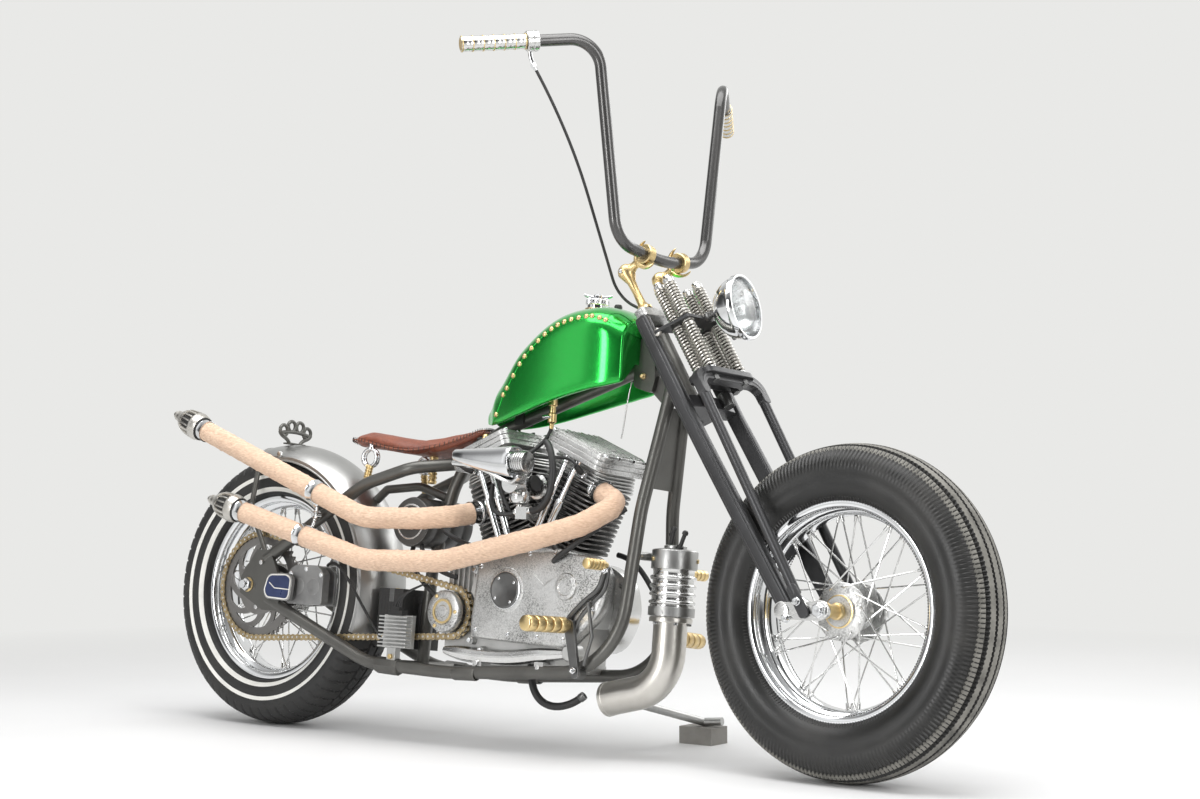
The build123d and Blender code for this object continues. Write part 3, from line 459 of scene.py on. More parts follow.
def lay_on(tree, colour, roughness, height, strength, distance):
    """Link what changes over the surface: colour, roughness, and a bump from a height."""
    lift = tree.add("Bump", {"Height": height, "Strength": strength, "Distance": distance}).outputs[0]
    for socket, value in (("Base Color", colour), ("Roughness", roughness), ("Normal", lift)):
        if value:
            tree.join(value, tree.tree.nodes["Principled BSDF"].inputs[socket])


def finish(name, colour, other, metallic, rough, scale, bump, edge=None, edge_rough=0.3, scratches=0.15,
           fixed=(), engraved=0, engraved_scale=22, lines=9, reach=5):
    """A finish named for what it is, from its colours and numbers."""
    tree = new_finish(name, {"Metallic": metallic, **dict(fixed)})
    surface = tree.use(SURFACE, Scale=scale)
    share = tree.mix(tree.times(surface["Clouds"], surface["Clouds"]), (*colour, 1), (*other, 1))
    roughness = tree.ramp(surface["Clouds"], 0, 1, *rough)
    roughness = tree.plus(roughness, tree.times(surface["Scratches"], scratches))
    height = surface["Grain"]
    if engraved:
        cuts = tree.use(ENGRAVING, Scale=engraved_scale, Lines=lines)
        dark = tree.times(cuts["Cut"], tree.ramp(cuts["Stipple"], 0, 1, 0.55, 1))
        dark = tree.times(dark, tree.ramp(surface["Clouds"], 0.2, 0.8, 0.25, 1))
        share = tree.mix(tree.times(dark, engraved), share, tuple(c * 0.16 for c in colour) + (1,))
        roughness = tree.plus(roughness, tree.times(dark, 0.25))
        height = tree.math("SUBTRACT", tree.times(height, 0.15), dark)
    if edge:
        worn = tree.use(EDGES, Reach=reach)["Mask"]
        share = tree.mix(worn, share, (*edge, 1))
        roughness = tree.plus(roughness, tree.times(worn, edge_rough - rough[1]))
    lay_on(tree, share, roughness, height, bump, 0.0004)


def wrap_finish():
    """Tan heat wrap: thread bump, painted shade in the hollows of its folds, and darker towards the front."""
    tree = new_finish("pipe_wrap", {"Sheen Weight": 0.15})
    cloth = tree.use(CLOTH)
    blotch = tree.noise(26, 5, tree.here(), 0.62)
    # Painted shade: the hollows of the folds are coloured darker.
    colour = tree.mix(tree.ramp(cloth["Folds"], 0.3, 0.7), (0.62, 0.41, 0.275, 1), (0.9, 0.67, 0.5, 1))
    colour = tree.mix(tree.ramp(blotch, 0.42, 0.68, 0, 0.5), colour, (0.74, 0.51, 0.37, 1))
    # Darker towards the front of the machine.
    forward = tree.add("SeparateXYZ", {0: tree.here()}).outputs["X"]
    colour = tree.mix(tree.ramp(forward, 0.1, 0.8, 0, 0.8), colour, (0.55, 0.325, 0.21, 1))
    height = tree.plus(tree.times(cloth["Threads"], 0.4), cloth["Folds"])
    lay_on(tree, colour, tree.ramp(cloth["Folds"], 0.2, 0.8, 0.95, 0.8), height, 0.55, 0.0012)


def leather_finish():
    """Reddish brown hide: pebbled cells, creases, polished high spots, and painted shade in the grooves
    between the pebbles.
    """
    tree = new_finish("seat_leather")
    cells = tree.add("TexVoronoi", {"Scale": 420, "Vector": tree.here()},
                     feature="DISTANCE_TO_EDGE").outputs[0]
    pebbles = tree.ramp(cells, 0, 0.18)
    surface = tree.use(SURFACE, Scale=10)
    colour = tree.mix(surface["Clouds"], (0.19, 0.045, 0.024, 1), (0.34, 0.1, 0.05, 1))
    # Painted shade: the grooves between the pebbles are coloured nearly black.
    colour = tree.mix(tree.times(tree.math("SUBTRACT", 1, pebbles), 0.7), colour, (0.04, 0.012, 0.007, 1))
    worn = tree.use(EDGES, Radius=0.004)["Mask"]
    colour = tree.mix(tree.times(worn, 0.5), colour, (0.4, 0.17, 0.08, 1))
    height = tree.plus(pebbles, tree.times(surface["Grain"], 0.5))
    lay_on(tree, colour, tree.ramp(surface["Clouds"], 0, 1, 0.36, 0.52), height, 0.35, 0.0006)


def candy_finish():
    """Candy paint: tiny metal flakes that tilt the normal under a clear coat."""
    tree = new_finish("tank_paint", {"Metallic": 0.85, "Coat Weight": 0.55, "Coat Roughness": 0.09})
    flakes = tree.add("TexVoronoi", {"Scale": 2600, "Vector": tree.here()}).outputs["Color"]
    flake = tree.add("SeparateColor", {0: flakes}).outputs[0]
    surface = tree.use(SURFACE, Scale=4)
    colour = tree.mix(flake, (0.004, 0.3, 0.03, 1), (0.03, 0.68, 0.09, 1))
    colour = tree.mix(tree.times(surface["Clouds"], 0.25), colour, (0.004, 0.32, 0.03, 1))
    lay_on(tree, colour, tree.ramp(flake, 0, 1, 0.13, 0.22), flake, 0.05, 0.0002)


def glass_finish():
    """Clear lamp lens, ribbed across, faintly dusty."""
    tree = new_finish("lamp_glass", {"Base Color": (0.96, 0.98, 0.98, 1), "Transmission Weight": 1,
                                     "IOR": 1.45})
    dust = tree.ramp(tree.use(SURFACE, Scale=20)["Clouds"], 0, 1, 0.02, 0.08)
    ribs = tree.add("TexWave", {"Scale": 70, "Vector": tree.here()}, bands_direction="Y").outputs["Fac"]
    lay_on(tree, None, dust, ribs, 0.25, 0.001)


# %% Palette
candy_finish()
leather_finish()
wrap_finish()
glass_finish()
finish("frame_paint", (0.125, 0.123, 0.114), (0.085, 0.083, 0.077), 0.6, (0.3, 0.42), 9, 0.12,
       (0.27, 0.26, 0.24))
finish("fork_paint", (0.062, 0.062, 0.064), (0.042, 0.042, 0.043), 0.6, (0.28, 0.4), 9, 0.12, (0.2, 0.2, 0.2))
finish("chrome", (0.8, 0.81, 0.82), (0.7, 0.71, 0.72), 1, (0.04, 0.12), 10, 0.02, scratches=0.08)
finish("polished", (0.7, 0.7, 0.69), (0.55, 0.55, 0.54), 1, (0.14, 0.28), 12, 0.08, (0.85, 0.85, 0.83), 0.15)
finish("cast_alloy", (0.55, 0.55, 0.54), (0.4, 0.4, 0.39), 0.9, (0.36, 0.52), 14, 0.35, (0.82, 0.82, 0.8))
finish("engraved_alloy", (0.66, 0.66, 0.65), (0.44, 0.44, 0.43), 1, (0.32, 0.46), 12, 0.14,
       (0.88, 0.88, 0.86), engraved=0.75, engraved_scale=210, lines=2.6)
finish("dark_alloy", (0.15, 0.15, 0.148), (0.085, 0.085, 0.083), 0.85, (0.3, 0.44), 12, 0.1, (0.4, 0.4, 0.39))
finish("warm_steel", (0.24, 0.232, 0.222), (0.16, 0.155, 0.15), 0.85, (0.34, 0.48), 12, 0.1,
       (0.5, 0.49, 0.47))
finish("brass", (0.74, 0.57, 0.29), (0.56, 0.41, 0.19), 1, (0.26, 0.42), 14, 0.1, (0.88, 0.76, 0.5))
finish("chain_gold", (0.52, 0.41, 0.24), (0.28, 0.21, 0.12), 1, (0.3, 0.46), 20, 0.1, (0.75, 0.64, 0.43))
finish("raw_steel", (0.47, 0.47, 0.46), (0.33, 0.33, 0.325), 1, (0.27, 0.42), 5, 0.15, (0.7, 0.7, 0.68),
       scratches=0.3)
finish("fin_black", (0.06, 0.059, 0.057), (0.1, 0.097, 0.092), 0.35, (0.36, 0.5), 12, 0.3, (0.85, 0.84, 0.81),
       reach=16)
finish("gunmetal", (0.1, 0.098, 0.096), (0.07, 0.069, 0.068), 0.8, (0.26, 0.34), 7, 0.02, scratches=0.05,
       fixed={"Coat Weight": 0.5, "Coat Roughness": 0.1})
finish("tyre_rubber", (0.014, 0.014, 0.014), (0.032, 0.031, 0.029), 0, (0.5, 0.68), 9, 0.3,
       (0.06, 0.058, 0.055), 0.8)
finish("front_rubber", (0.009, 0.009, 0.0085), (0.024, 0.023, 0.021), 0, (0.3, 0.48), 9, 0.3,
       (0.06, 0.058, 0.054), 0.8)
# The raised tread of the front tyre is a lighter grey than its grooves and walls.
finish("tread_top_rubber", (0.22, 0.212, 0.19), (0.1, 0.097, 0.087), 0, (0.65, 0.85), 26, 0.4)
finish("white_wall", (0.8, 0.79, 0.75), (0.66, 0.65, 0.61), 0, (0.35, 0.5), 14, 0.1)
finish("black_rubber", (0.016, 0.016, 0.016), (0.03, 0.029, 0.028), 0, (0.4, 0.6), 14, 0.2)
finish("nickel", (0.66, 0.64, 0.6), (0.52, 0.5, 0.46), 1, (0.24, 0.38), 9, 0.2, (0.8, 0.78, 0.75))
finish("caliper_grey", (0.33, 0.33, 0.325), (0.22, 0.22, 0.22), 0.7, (0.35, 0.5), 14, 0.25, (0.6, 0.6, 0.58))
finish("panel_blue", (0.03, 0.045, 0.12), (0.018, 0.028, 0.08), 0.2, (0.25, 0.4), 20, 0.1)
finish("block_grey", (0.27, 0.26, 0.24), (0.18, 0.17, 0.16), 0, (0.75, 0.9), 16, 0.5, (0.42, 0.4, 0.37))
print("finishes:", ", ".join(sorted(FINISH)))

# %% [markdown]
# A CAD node whose shape is already right stays and only takes a finish.

# %% Finishes of the CAD nodes that still show
NODE_FINISH = {
    "frame_paint": ("neck_and_backbone", "frame_rail_right", "frame_rail_left", "seat_stays",
                    "fender_struts"),
    "raw_steel": ("rear_fender", "side_stand"),
    "cast_alloy": ("crankcase",),
    "black_rubber": ("throttle_cable",),
    "gunmetal": ("handlebar",),
    "block_grey": ("stand_block",),
}
for finish_name, names in NODE_FINISH.items():
    for name in names:
        for material_slot in nodes[name].material_slots:
            material_slot.material = FINISH[finish_name]
print("nodes with a finish:", sum(len(names) for names in NODE_FINISH.values()))

# %% [markdown]
# ## Wheels
# Each wheel is a tyre with real grooves, a chrome rim whose steps catch light and dark, a turned hub with
# flanges, forty laced spokes and their nipples.

# %% Tyres
ACROSS = Matrix.Rotation(radians(-90), 4, "X")


def on_axle(axle, y=0):
    """A place at a wheel's middle whose Z axis runs along the axle, to the left."""
    return Matrix.Translation(axle + Vector((0, y, 0))) @ ACROSS


def arc_points(a, through, b, count):
    """Points on the circle through three (radius, y) points, from a to b."""
    (ax, ay), (bx, by), (cx, cy) = a, through, b
    d = 2 * (ax * (by - cy) + bx * (cy - ay) + cx * (ay - by))
    ux = ((ax * ax + ay * ay) * (by - cy) + (bx * bx + by * by) * (cy - ay)
          + (cx * cx + cy * cy) * (ay - by)) / d
    uy = ((ax * ax + ay * ay) * (cx - bx) + (bx * bx + by * by) * (ax - cx)
          + (cx * cx + cy * cy) * (bx - ax)) / d
    radius = hypot(ax - ux, ay - uy)
    first, middle, last = (atan2(y - uy, x - ux) for x, y in (a, through, b))
    turn = (last - first) % (2 * pi)
    if (middle - first) % (2 * pi) > turn:
        turn -= 2 * pi
    angles = [first + turn * n / count for n in range(count + 1)]
    return [(ux + radius * cos(t), uy + radius * sin(t)) for t in angles]


def tyre_outline(radius, rows, shoulder_rows):
    """Half of the tyre's outside, from the middle of the tread to the bead."""
    crown, crown_y, half = 105, 36, 67.2
    edge = radius - (crown - sqrt(crown ** 2 - crown_y ** 2))
    middle = (radius + 205) / 2 - 4
    tread = arc_points((radius, 0), (radius - (crown - sqrt(crown ** 2 - 18 ** 2)), 18), (edge, crown_y),
                       rows)
    shoulder = arc_points((edge, crown_y), ((edge + middle) / 2 + 14, (crown_y + half) / 2 + 7),
                          (middle, half), shoulder_rows)
    wall = arc_points((middle, half), (middle - 34, half - 7), (217, 46), 9)
    rings = [(r - (0.9 if n in (2, 3, 7) else 0), y) for n, (r, y) in enumerate(wall)]
    return tread, shoulder[1:], rings[1:] + [(206, 46), (206, 40)]


def tyre(name, axle, radius, groove, body, stands_for, finish_name, zones, steps, rows):
    """A tyre: groove(angle, y, radius) is the tread's depth in millimetres, zones give another finish."""
    tread, shoulder, wall = tyre_outline(radius, *rows)
    half = tread + shoulder + wall
    outline = [(r, -y) for r, y in reversed(half[1:])] + half
    inside = [(218, 30), (218, -30)]
    ys = [y for _, y in outline]
    count = len(outline)
    outline = outline + inside

    def depth(angle, row):
        return -groove(angle, ys[row], outline[row][0]) if row < count else 0

    thing = piece(name, stands_for, body=body, smooth=28,
                  **{finish_name: [turned(outline, on_axle(axle), steps, closed=True, wave=depth)]})
    back = PLACE[body].inverted()
    for number, (zone_finish, holds) in enumerate(zones):
        thing.data.materials.append(FINISH[zone_finish])
        for face in thing.data.polygons:
            at = back @ face.center - axle
            if holds(hypot(at.x, at.z), abs(at.y)):
                face.material_index = number + 1


def saw(value):
    return value - floor(value)


def rear_groove(angle, y, radius):
    """Wide blocks between two straight grooves, cut across by slanting slots on the shoulders."""
    if radius < 292:
        return 0
    side = abs(y)
    if 11 < side < 15.5:
        return 5
    if side >= 15.5:
        slot = saw(angle * 64 / (2 * pi) + side * 0.012 * (1 if y > 0 else -1))
        return 4.2 if slot < 0.16 else 0
    return 3 if saw(angle * 64 / (2 * pi) + 0.3 * abs(y) / 11) < 0.12 else 0


FRONT_GROOVES = ((12, 2.3, 7), (35, 3.1, 8), (47.5, 2.3, 5))


def front_groove(angle, y, radius):
    """Ribs parted by saw-toothed grooves, and slots cut across the shoulders."""
    side, turn = abs(y), angle * 216 / (2 * pi)
    for middle, half, deep in FRONT_GROOVES:
        if abs(side - middle - 3.4 * saw(turn + 0.01 * middle) + 1.7) < half:
            return deep
    if side > 48 and radius > 276:
        return 3.2 if saw(turn + 0.01) < 0.5 else 0
    return 0


def front_crown(radius, side):
    """The raised tread of the front tyre, without its grooves."""
    crown = FRONT_TYRE_RADIUS - (105 - sqrt(105 ** 2 - side ** 2)) - 0.02 * max(0, side - 36) ** 2
    return side < 48 and radius > crown - 1.6


WHITE_BANDS = (("white_wall", lambda r, side: side > 45 and (255.5 < r < 268 or 226 < r < 237)),)
tyre("rear_tyre_tread", REAR_AXLE, REAR_TYRE_RADIUS, rear_groove, "rear_wheel", "rear_tyre", "tyre_rubber",
     WHITE_BANDS, steps=832, rows=(20, 8))
tyre("front_tyre_tread", FRONT_AXLE, FRONT_TYRE_RADIUS, front_groove, "front_wheel", "front_tyre",
     "front_rubber", (("tread_top_rubber", front_crown),), steps=864, rows=(20, 14))


# %% Rims
def rim(name, axle, body, stands_for):
    """Stepped chrome rim with a rolled lip each side and a raised band in the well."""
    half = [(190, 0), (190, 14), (191.5, 17), (196, 22), (202, 26), (202.5, 31), (201, 34), (201, 42),
            (203, 46), (209, 48.5), (215, 49), (217, 47.8), (217, 46.6), (211, 45.6), (205.4, 45.2),
            (205.2, 40)]
    outline = [(r, -y) for r, y in reversed(half[1:])] + half
    under = [(205, 28), (194, 19), (193, 0), (194, -19), (205, -28)]
    rims = hoop(outline + under, on_axle(axle), 144)
    piece(name, stands_for, body=body, smooth=50, chrome=[rims])


rim("rear_rim_steps", REAR_AXLE, "rear_wheel", "rear_rim")
rim("front_rim_steps", FRONT_AXLE, "front_wheel", "front_rim")


# %% Hubs and spokes
def hub(axle):
    """Waisted barrel, two flanges, and bearing collars outside them."""
    barrel = [(10, 0), (24, 0), (24.5, 10), (27, 22), (33, 29), (33, 30.6), (56, 30.8), (57, 32), (57, 36),
              (55.5, 37.2), (36, 37.4), (32, 39), (30, 41), (29.5, 46), (10, 46)]
    outline = [(r, -y) for r, y in reversed(barrel[1:-1])] + barrel[1:-1]
    shapes = [turned([(9.9, -46)] + outline + [(9.9, 46)], on_axle(axle), 72)]
    beads = [[(30.2, side * 41.5), (33, side * 42.2), (33, side * 44), (30.2, side * 44.6)]
             for side in (-1, 1)]
    return shapes, [hoop(bead, on_axle(axle), 48) for bead in beads]


def spokes(axle):
    """Forty spokes, each bent at the flange, crossed over its neighbours, with a nipple at the rim."""
    wires, nipples = [], []
    for number in range(40):
        side = 1 if number % 2 else -1
        outside = number % 4 < 2
        lead = radians(62 if outside else -62)
        start = 2 * pi * number / 40
        face = 39.5 if outside else 28.5
        inner = axle + Vector((48 * sin(start), side * face, 48 * cos(start)))
        hole = axle + Vector((46 * sin(start), side * 34, 46 * cos(start)))
        outer = axle + Vector((189.2 * sin(start + lead), side * 8, 189.2 * cos(start + lead)))
        along = (outer - inner).normalized()
        wires += [swept([hole, hole.lerp(inner, 0.75) + along * 0.6, inner + along * 2.5, inner + along * 8,
                         outer], 1.8, 8)]
        foot = outer - along * 13
        nipples += [spun(foot, along, [(3, 0), (3.4, 0.8), (3.4, 9), (4.2, 11), (4.2, 13)], 10)]
    return wires, nipples


def wheel_middle(name, axle, body, stands_for):
    shapes, rings = hub(axle)
    wires, nipples = spokes(axle)
    piece(name, stands_for, body=body, smooth=40, engraved_alloy=shapes, brass=rings,
          polished=wires + nipples)


wheel_middle("rear_hub_laced", REAR_AXLE, "rear_wheel", "rear_hub")
wheel_middle("front_hub_laced", FRONT_AXLE, "front_wheel", "front_hub")


# %% [markdown]
# ## Final drive
# The chain is real links: a pair of waisted plates, then a wider pair over it, with rollers on the pins.
# The belt line round both sprockets is worked out from their pitch circles and the links are laid along it.

# %% Chain and sprockets
CHAIN_Y, CHAIN_PITCH = -90, 15.875
SMALL_SPROCKET = Vector((600, 0, 284))


def pitch_radius(teeth):
    return CHAIN_PITCH / 2 / sin(pi / teeth)


def belt_points(count):
    """Even points round the two pitch circles and the straight runs between them, as (x, z)."""
    big, small = pitch_radius(48), pitch_radius(21)
    ax, az, bx, bz = REAR_AXLE.x, REAR_AXLE.z, SMALL_SPROCKET.x, SMALL_SPROCKET.z
    along = atan2(bz - az, bx - ax)
    reach = hypot(bx - ax, bz - az)
    lean = acos((big - small) / reach)
    outline = []
    for n in range(121):
        t = along - lean + 2 * lean * n / 120
        outline.append((bx + small * cos(t), bz + small * sin(t)))
    for n in range(241):
        t = along + lean + (2 * pi - 2 * lean) * n / 240
        outline.append((ax + big * cos(t), az + big * sin(t)))
    outline.append(outline[0])
    lengths = [dist(p, q) for p, q in zip(outline, outline[1:])]
    total, step, points = sum(lengths), sum(lengths) / count, []
    travelled, index = 0, 0
    for n in range(count):
        target = n * step
        while travelled + lengths[index] < target:
            travelled += lengths[index]
            index += 1
        share = (target - travelled) / lengths[index]
        (x0, z0), (x1, z1) = outline[index], outline[index + 1]
        points.append((x0 + (x1 - x0) * share, z0 + (z1 - z0) * share))
    print("chain pitch", round(step, 3), "of", CHAIN_PITCH, "length", round(total))
    return points


def link_outline(pitch, end=7.4, waist=5.2, steps=7):
    """Figure-eight side plate: two round ends and a waist."""
    points = []
    for n in range(steps + 1):
        t = radians(-130 + 260 * n / steps)
        points.append((pitch + end * cos(t), end * sin(t)))
    points.append((pitch / 2, waist))
    for n in range(steps + 1):
        t = radians(50 + 260 * n / steps)
        points.append((end * cos(t), end * sin(t)))
    points.append((pitch / 2, -waist))
    return points


def chain():
    points = belt_points(118)
    plates, pins = [], []
    for number, (x, z) in enumerate(points):
        x1, z1 = points[(number + 1) % len(points)]
        gap = 5.4 if number % 2 else 7
        pitch = hypot(x1 - x, z1 - z)
        for side in (-1, 1):
            y = CHAIN_Y + side * gap - 0.7
            place = facing((x, y, z), (0, 1, 0), (x1 - x, 0, z1 - z))
            plates += [plate([(a, -b) for a, b in link_outline(pitch)][::-1], place, 1.4)]
        pins += [rod((x, CHAIN_Y - 8.4, z), (x, CHAIN_Y + 8.4, z), 2.4, 10),
                 rod((x, CHAIN_Y - 4.6, z), (x, CHAIN_Y + 4.6, z), 5, 14)]
    piece("drive_chain_links", "drive_chain", smooth=30, chain_gold=plates, polished=pins)


def toothed_outline(teeth, tip=5.4, root=4.9):
    """Hooked round teeth between the rollers, as (x, y) points."""
    pitch, points = pitch_radius(teeth), []
    for number in range(teeth):
        middle = 2 * pi * (number + 0.5) / teeth
        half = pi / teeth
        for share, radius in ((-0.95, pitch - root), (-0.55, pitch - root * 0.55), (-0.25, pitch + tip * 0.8),
                              (0, pitch + tip), (0.25, pitch + tip * 0.8), (0.55, pitch - root * 0.55)):
            angle = middle + half * share
            points.append((radius * cos(angle), radius * sin(angle)))
    return points


def ring_plate(outer, inner, place, thickness):
    """A flat ring from two outlines with the same number of points."""
    rows = ((outer, 0), (inner, 0), (inner, thickness), (outer, thickness))
    return [place @ Vector((x, y, z)) for line, z in rows for x, y in line], skin(4, len(outer), closed=True)


def rear_sprocket():
    """Toothed ring that is also the brake's disc, joined to its boss by curved arms."""
    place = on_axle(REAR_AXLE, CHAIN_Y - 3.5)
    teeth = toothed_outline(48)
    inner = circle(98, len(teeth), degrees(atan2(teeth[0][1], teeth[0][0])))
    shapes = [ring_plate(teeth, inner, place, 7),
              hoop([(30, 0.3), (66, 0.3), (68, 1), (68, 6), (66, 6.7), (30, 6.7)], place, 72)]
    arms, arm_steps = 9, 9
    for number in range(arms):
        start = 2 * pi * number / arms
        left, right = [], []
        for n in range(arm_steps + 1):
            share = n / arm_steps
            radius = 66 + 34 * share
            middle = start + 0.5 * share ** 1.3
            half = (0.17 - 0.05 * sin(pi * share))
            left.append((radius * cos(middle - half), radius * sin(middle - half)))
            right.append((radius * cos(middle + half), radius * sin(middle + half)))
        shapes += [plate(left + right[::-1], moved(place, 0, 0, 0.6), 5.8)]
    bolts = [spun(place @ Vector((x, y, 0.2)), (0, -1, 0), [(7, 0), (7, 4.2), (5.4, 5.6), (0.1, 5.8)]) for x,
             y in circle(50, 5, 21.6)]
    boss = hoop([(10, 7), (34, 7), (34, 40), (31, 43.6), (10, 43.6)], place, 48)
    cap = hoop([(10, -5), (24, -5), (27, -3), (28, 0.3), (10, 0.3)], place, 40)
    piece("rear_sprocket_disc", "rear_sprocket", body="rear_wheel", bevel=0.5, warm_steel=shapes,
          polished=bolts + [boss, cap])


def front_sprocket():
    """Gearbox sprocket behind a round cover with a brass ring and three bolts."""
    place = on_axle(SMALL_SPROCKET, CHAIN_Y - 3.5)
    outline = toothed_outline(21)
    wheel = [plate(outline, place, 7), rod((600, -106, 284), (600, -76.5, 284), 22, 40)]
    face = facing((600, -106, 284), (0, -1, 0))
    cover = [turned([(46, 0), (46, 10), (44, 13.5), (38, 15.5), (30, 16), (28, 14.5), (14, 14.5), (12, 17.5),
                     (0.1, 18)], face, 72)]
    brass = [hoop([(22, 14), (27, 14), (27, 16.8), (22, 16.8)], face, 48)]
    brass += [spun(face @ Vector((x, y, 15)), (0, -1, 0), [(4.5, 0), (4.5, 3), (3, 3.6), (0.1, 3.8)]) for x,
              y in circle(37, 3, 30)]
    piece("front_sprocket_cover", "small_sprocket", bevel=0.4, engraved_alloy=cover, brass=brass,
          polished=wheel)


chain()
rear_sprocket()
front_sprocket()

# %% [markdown]
# ## Engine
# Two finned barrels lean a vee apart on a round case. Fins are thin slabs with a gap between, so light
# catches each edge. Covers are domed castings with engraved faces and real screws.

# %% Places along a bore
CRANK = Vector((778, 0, 318))
VEE = {"front": 22.5, "rear": -22.5}
SCREW = [(4.6, 0), (4.6, 3.2), (3.4, 4.2), (2.2, 4.2), (2.2, 2.4), (0.1, 2.4)]
HEX_BOLT = [(6.5, 0), (6.5, 4.6), (5.4, 5.8), (0.1, 6)]
ACORN = [(7.2, 0), (7.2, 4.5), (5.8, 5.2), (5.6, 7.5), (4.2, 10), (2.2, 11.3), (0.1, 11.7)]


def bore(tilt, height=0):
    """A place up a cylinder: Z along its bore, X forward, Y to the left."""
    return Matrix.Translation(CRANK) @ Matrix.Rotation(radians(tilt), 4,
            "Y") @ Matrix.Translation((0, 0, height))


def right_face(x, z, y):
    """A place on the right side: Z to the right, X forward."""
    return facing((x, y, z), (0, -1, 0), (1, 0, 0))


def bolts_on(place, spots, outline, sides=6):
    """Fasteners that stand on a place at (x, y) spots."""
    normal = place.to_3x3() @ Vector((0, 0, 1))
    return [spun(place @ Vector((*spot, 0)), normal, outline, sides) for spot in spots]


def domed(outline, place, height, inset=10, rise=6, rounds=5, centre=None):
    """A cast cover: the outline goes straight up, rounds over its edge and rises a little to a domed face."""
    cx, cy = centre or (sum(p[0] for p in outline) / len(outline), sum(p[1] for p in outline) / len(outline))
    reach = max(dist((cx, cy), p) for p in outline)
    levels = [(0, 0)]
    for n in range(rounds + 1):
        t = pi / 2 * n / rounds
        levels.append((inset * (1 - cos(t)), height - inset * 0.8 * (1 - sin(t))))
    levels += [(reach * 0.35, height + rise * 0.6), (reach * 0.75, height + rise)]
    sections = []
    for shrink, level in levels:
        row = []
        for x, y in outline:
            share = max(0.02, 1 - shrink / max(dist((cx, cy), (x, y)), 1))
            row.append(place @ Vector((cx + (x - cx) * share, cy + (y - cy) * share, level)))
        sections.append(row)
    return bridged(sections)


# %% Cylinders and heads
def cut_at_middle(shape, side):
    """Flatten whatever crosses the plane between the two cylinders."""
    points, faces = shape
    limit = CRANK.x + side * 0.4
    flattened = [Vector((max(p.x, limit) if side > 0 else min(p.x, limit), p.y, p.z)) for p in points]
    return flattened, faces


def cylinders():
    barrels, fins, studs = [], [], []
    for tilt in VEE.values():
        side = 1 if tilt > 0 else -1
        place = bore(tilt)
        barrels += [cut_at_middle(turned([(54, 138.5), (54, 289.5)], place, 48), side)]
        for number in range(13):
            level = 148 + 11 * number
            outline = rounded_outline(82, 69, 30)
            fins += [cut_at_middle(plate(outline, moved(place, 0, 0, level), 3.4), side)]
        for x, y in ((52, 44), (-52, 44), (52, -44), (-52, -44)):
            foot = place @ Vector((x, y, 139))
            if (foot.x - CRANK.x) * side > 8:
                studs += [spun(foot, place.to_3x3() @ Vector((0, 0, 1)),
                               [(8, 0), (8, 8), (6, 10), (0.1, 10.4)])]
    piece("finned_cylinders", "cylinders", bevel=0.7, fin_black=barrels + fins, chrome=studs)


def head(tilt):
    """Finned head, rocker box in two ribbed tiers with bolts, and a plug in its right side."""
    place = bore(tilt)
    fins, box, bolts = [], [], []
    for number in range(5):
        level = 291.5 + 7.6 * number
        shrink = 2 * number
        flat = moved(place, 0, 0, level)
        fins += [plate(rounded_outline(79 - shrink * 0.4, 71 - shrink, 24), flat, 3)]
    fins += [plate(rounded_outline(66, 58, 22), moved(place, 0, 0, 290.4), 41)]
    low = 332.3
    middle = -13
    wide = (71.8 * 2 + 26) / 2
    tiers = ((0, 83.6, wide, 10), (10, 81, wide - 3, 2.5), (12.5, 83, wide - 0.6, 9),
             (21.5, 80.5, wide - 3.5, 2.5), (24, 82, wide - 1.2, 8))
    for rise, half_x, half_y, thick in tiers:
        flat = moved(place, 0, middle, low + rise)
        box += [plate(rounded_outline(half_x, half_y, 19), flat, thick)]
    for number in range(9):
        y = middle - wide + 14 + (2 * wide - 28) * number / 8
        rib = [(-70, y - 3), (70, y - 3), (70, y + 3), (-70, y + 3)]
        box += [plate(rib, moved(place, 0, 0, low + 31), 8.2)]
    box += [plate(rounded_outline(76, wide - 7, 16), moved(place, 0, middle, low + 31.5), 5)]
    up = place.to_3x3() @ Vector((0, 0, 1))
    for x in (-76, 76):
        for share in (-0.82, -0.3, 0.3, 0.82):
            bolts += [spun(place @ Vector((x, middle + wide * share, low + 32)), up, HEX_BOLT)]
    side = -1 if tilt > 0 else 1
    plug_at = place @ Vector((-side * 30, -70, 306))
    plug_run = (place.to_3x3() @ Vector((-side * 0.25, -1, 0.35))).normalized()
    plug = [spun(plug_at, plug_run, [(9, 0), (9, 6), (5.5, 7), (5.5, 14), (4.6, 15), (4.6, 22), (0.1, 22.4)],
                 16)]
    boot = swept([plug_at + plug_run * 20, plug_at + plug_run * 34,
                  plug_at + plug_run * 44 + Vector((-6, 0, 6))], 6.5, 12)
    return fins, box, bolts + plug, [boot], plug_at + plug_run * 44


def heads():
    fins, boxes, bright, rubber = [], [], [], []
    for tilt in VEE.values():
        a, b, c, d, end = head(tilt)
        fins, boxes, bright, rubber = fins + a, boxes + b, bright + c, rubber + d
        lead = [end + Vector((-6, 0, 6)), end + Vector((-10, -6, 40)), Vector((CRANK.x - 2, -92, 610)),
                Vector((CRANK.x - 6, -60, 640))]
        rubber += [swept(curve(lead, 16), 3.6, 10)]
    piece("rocker_boxes_and_heads", "cylinder_heads", bevel=1, cast_alloy=fins, engraved_alloy=boxes,
          chrome=bright, black_rubber=rubber)


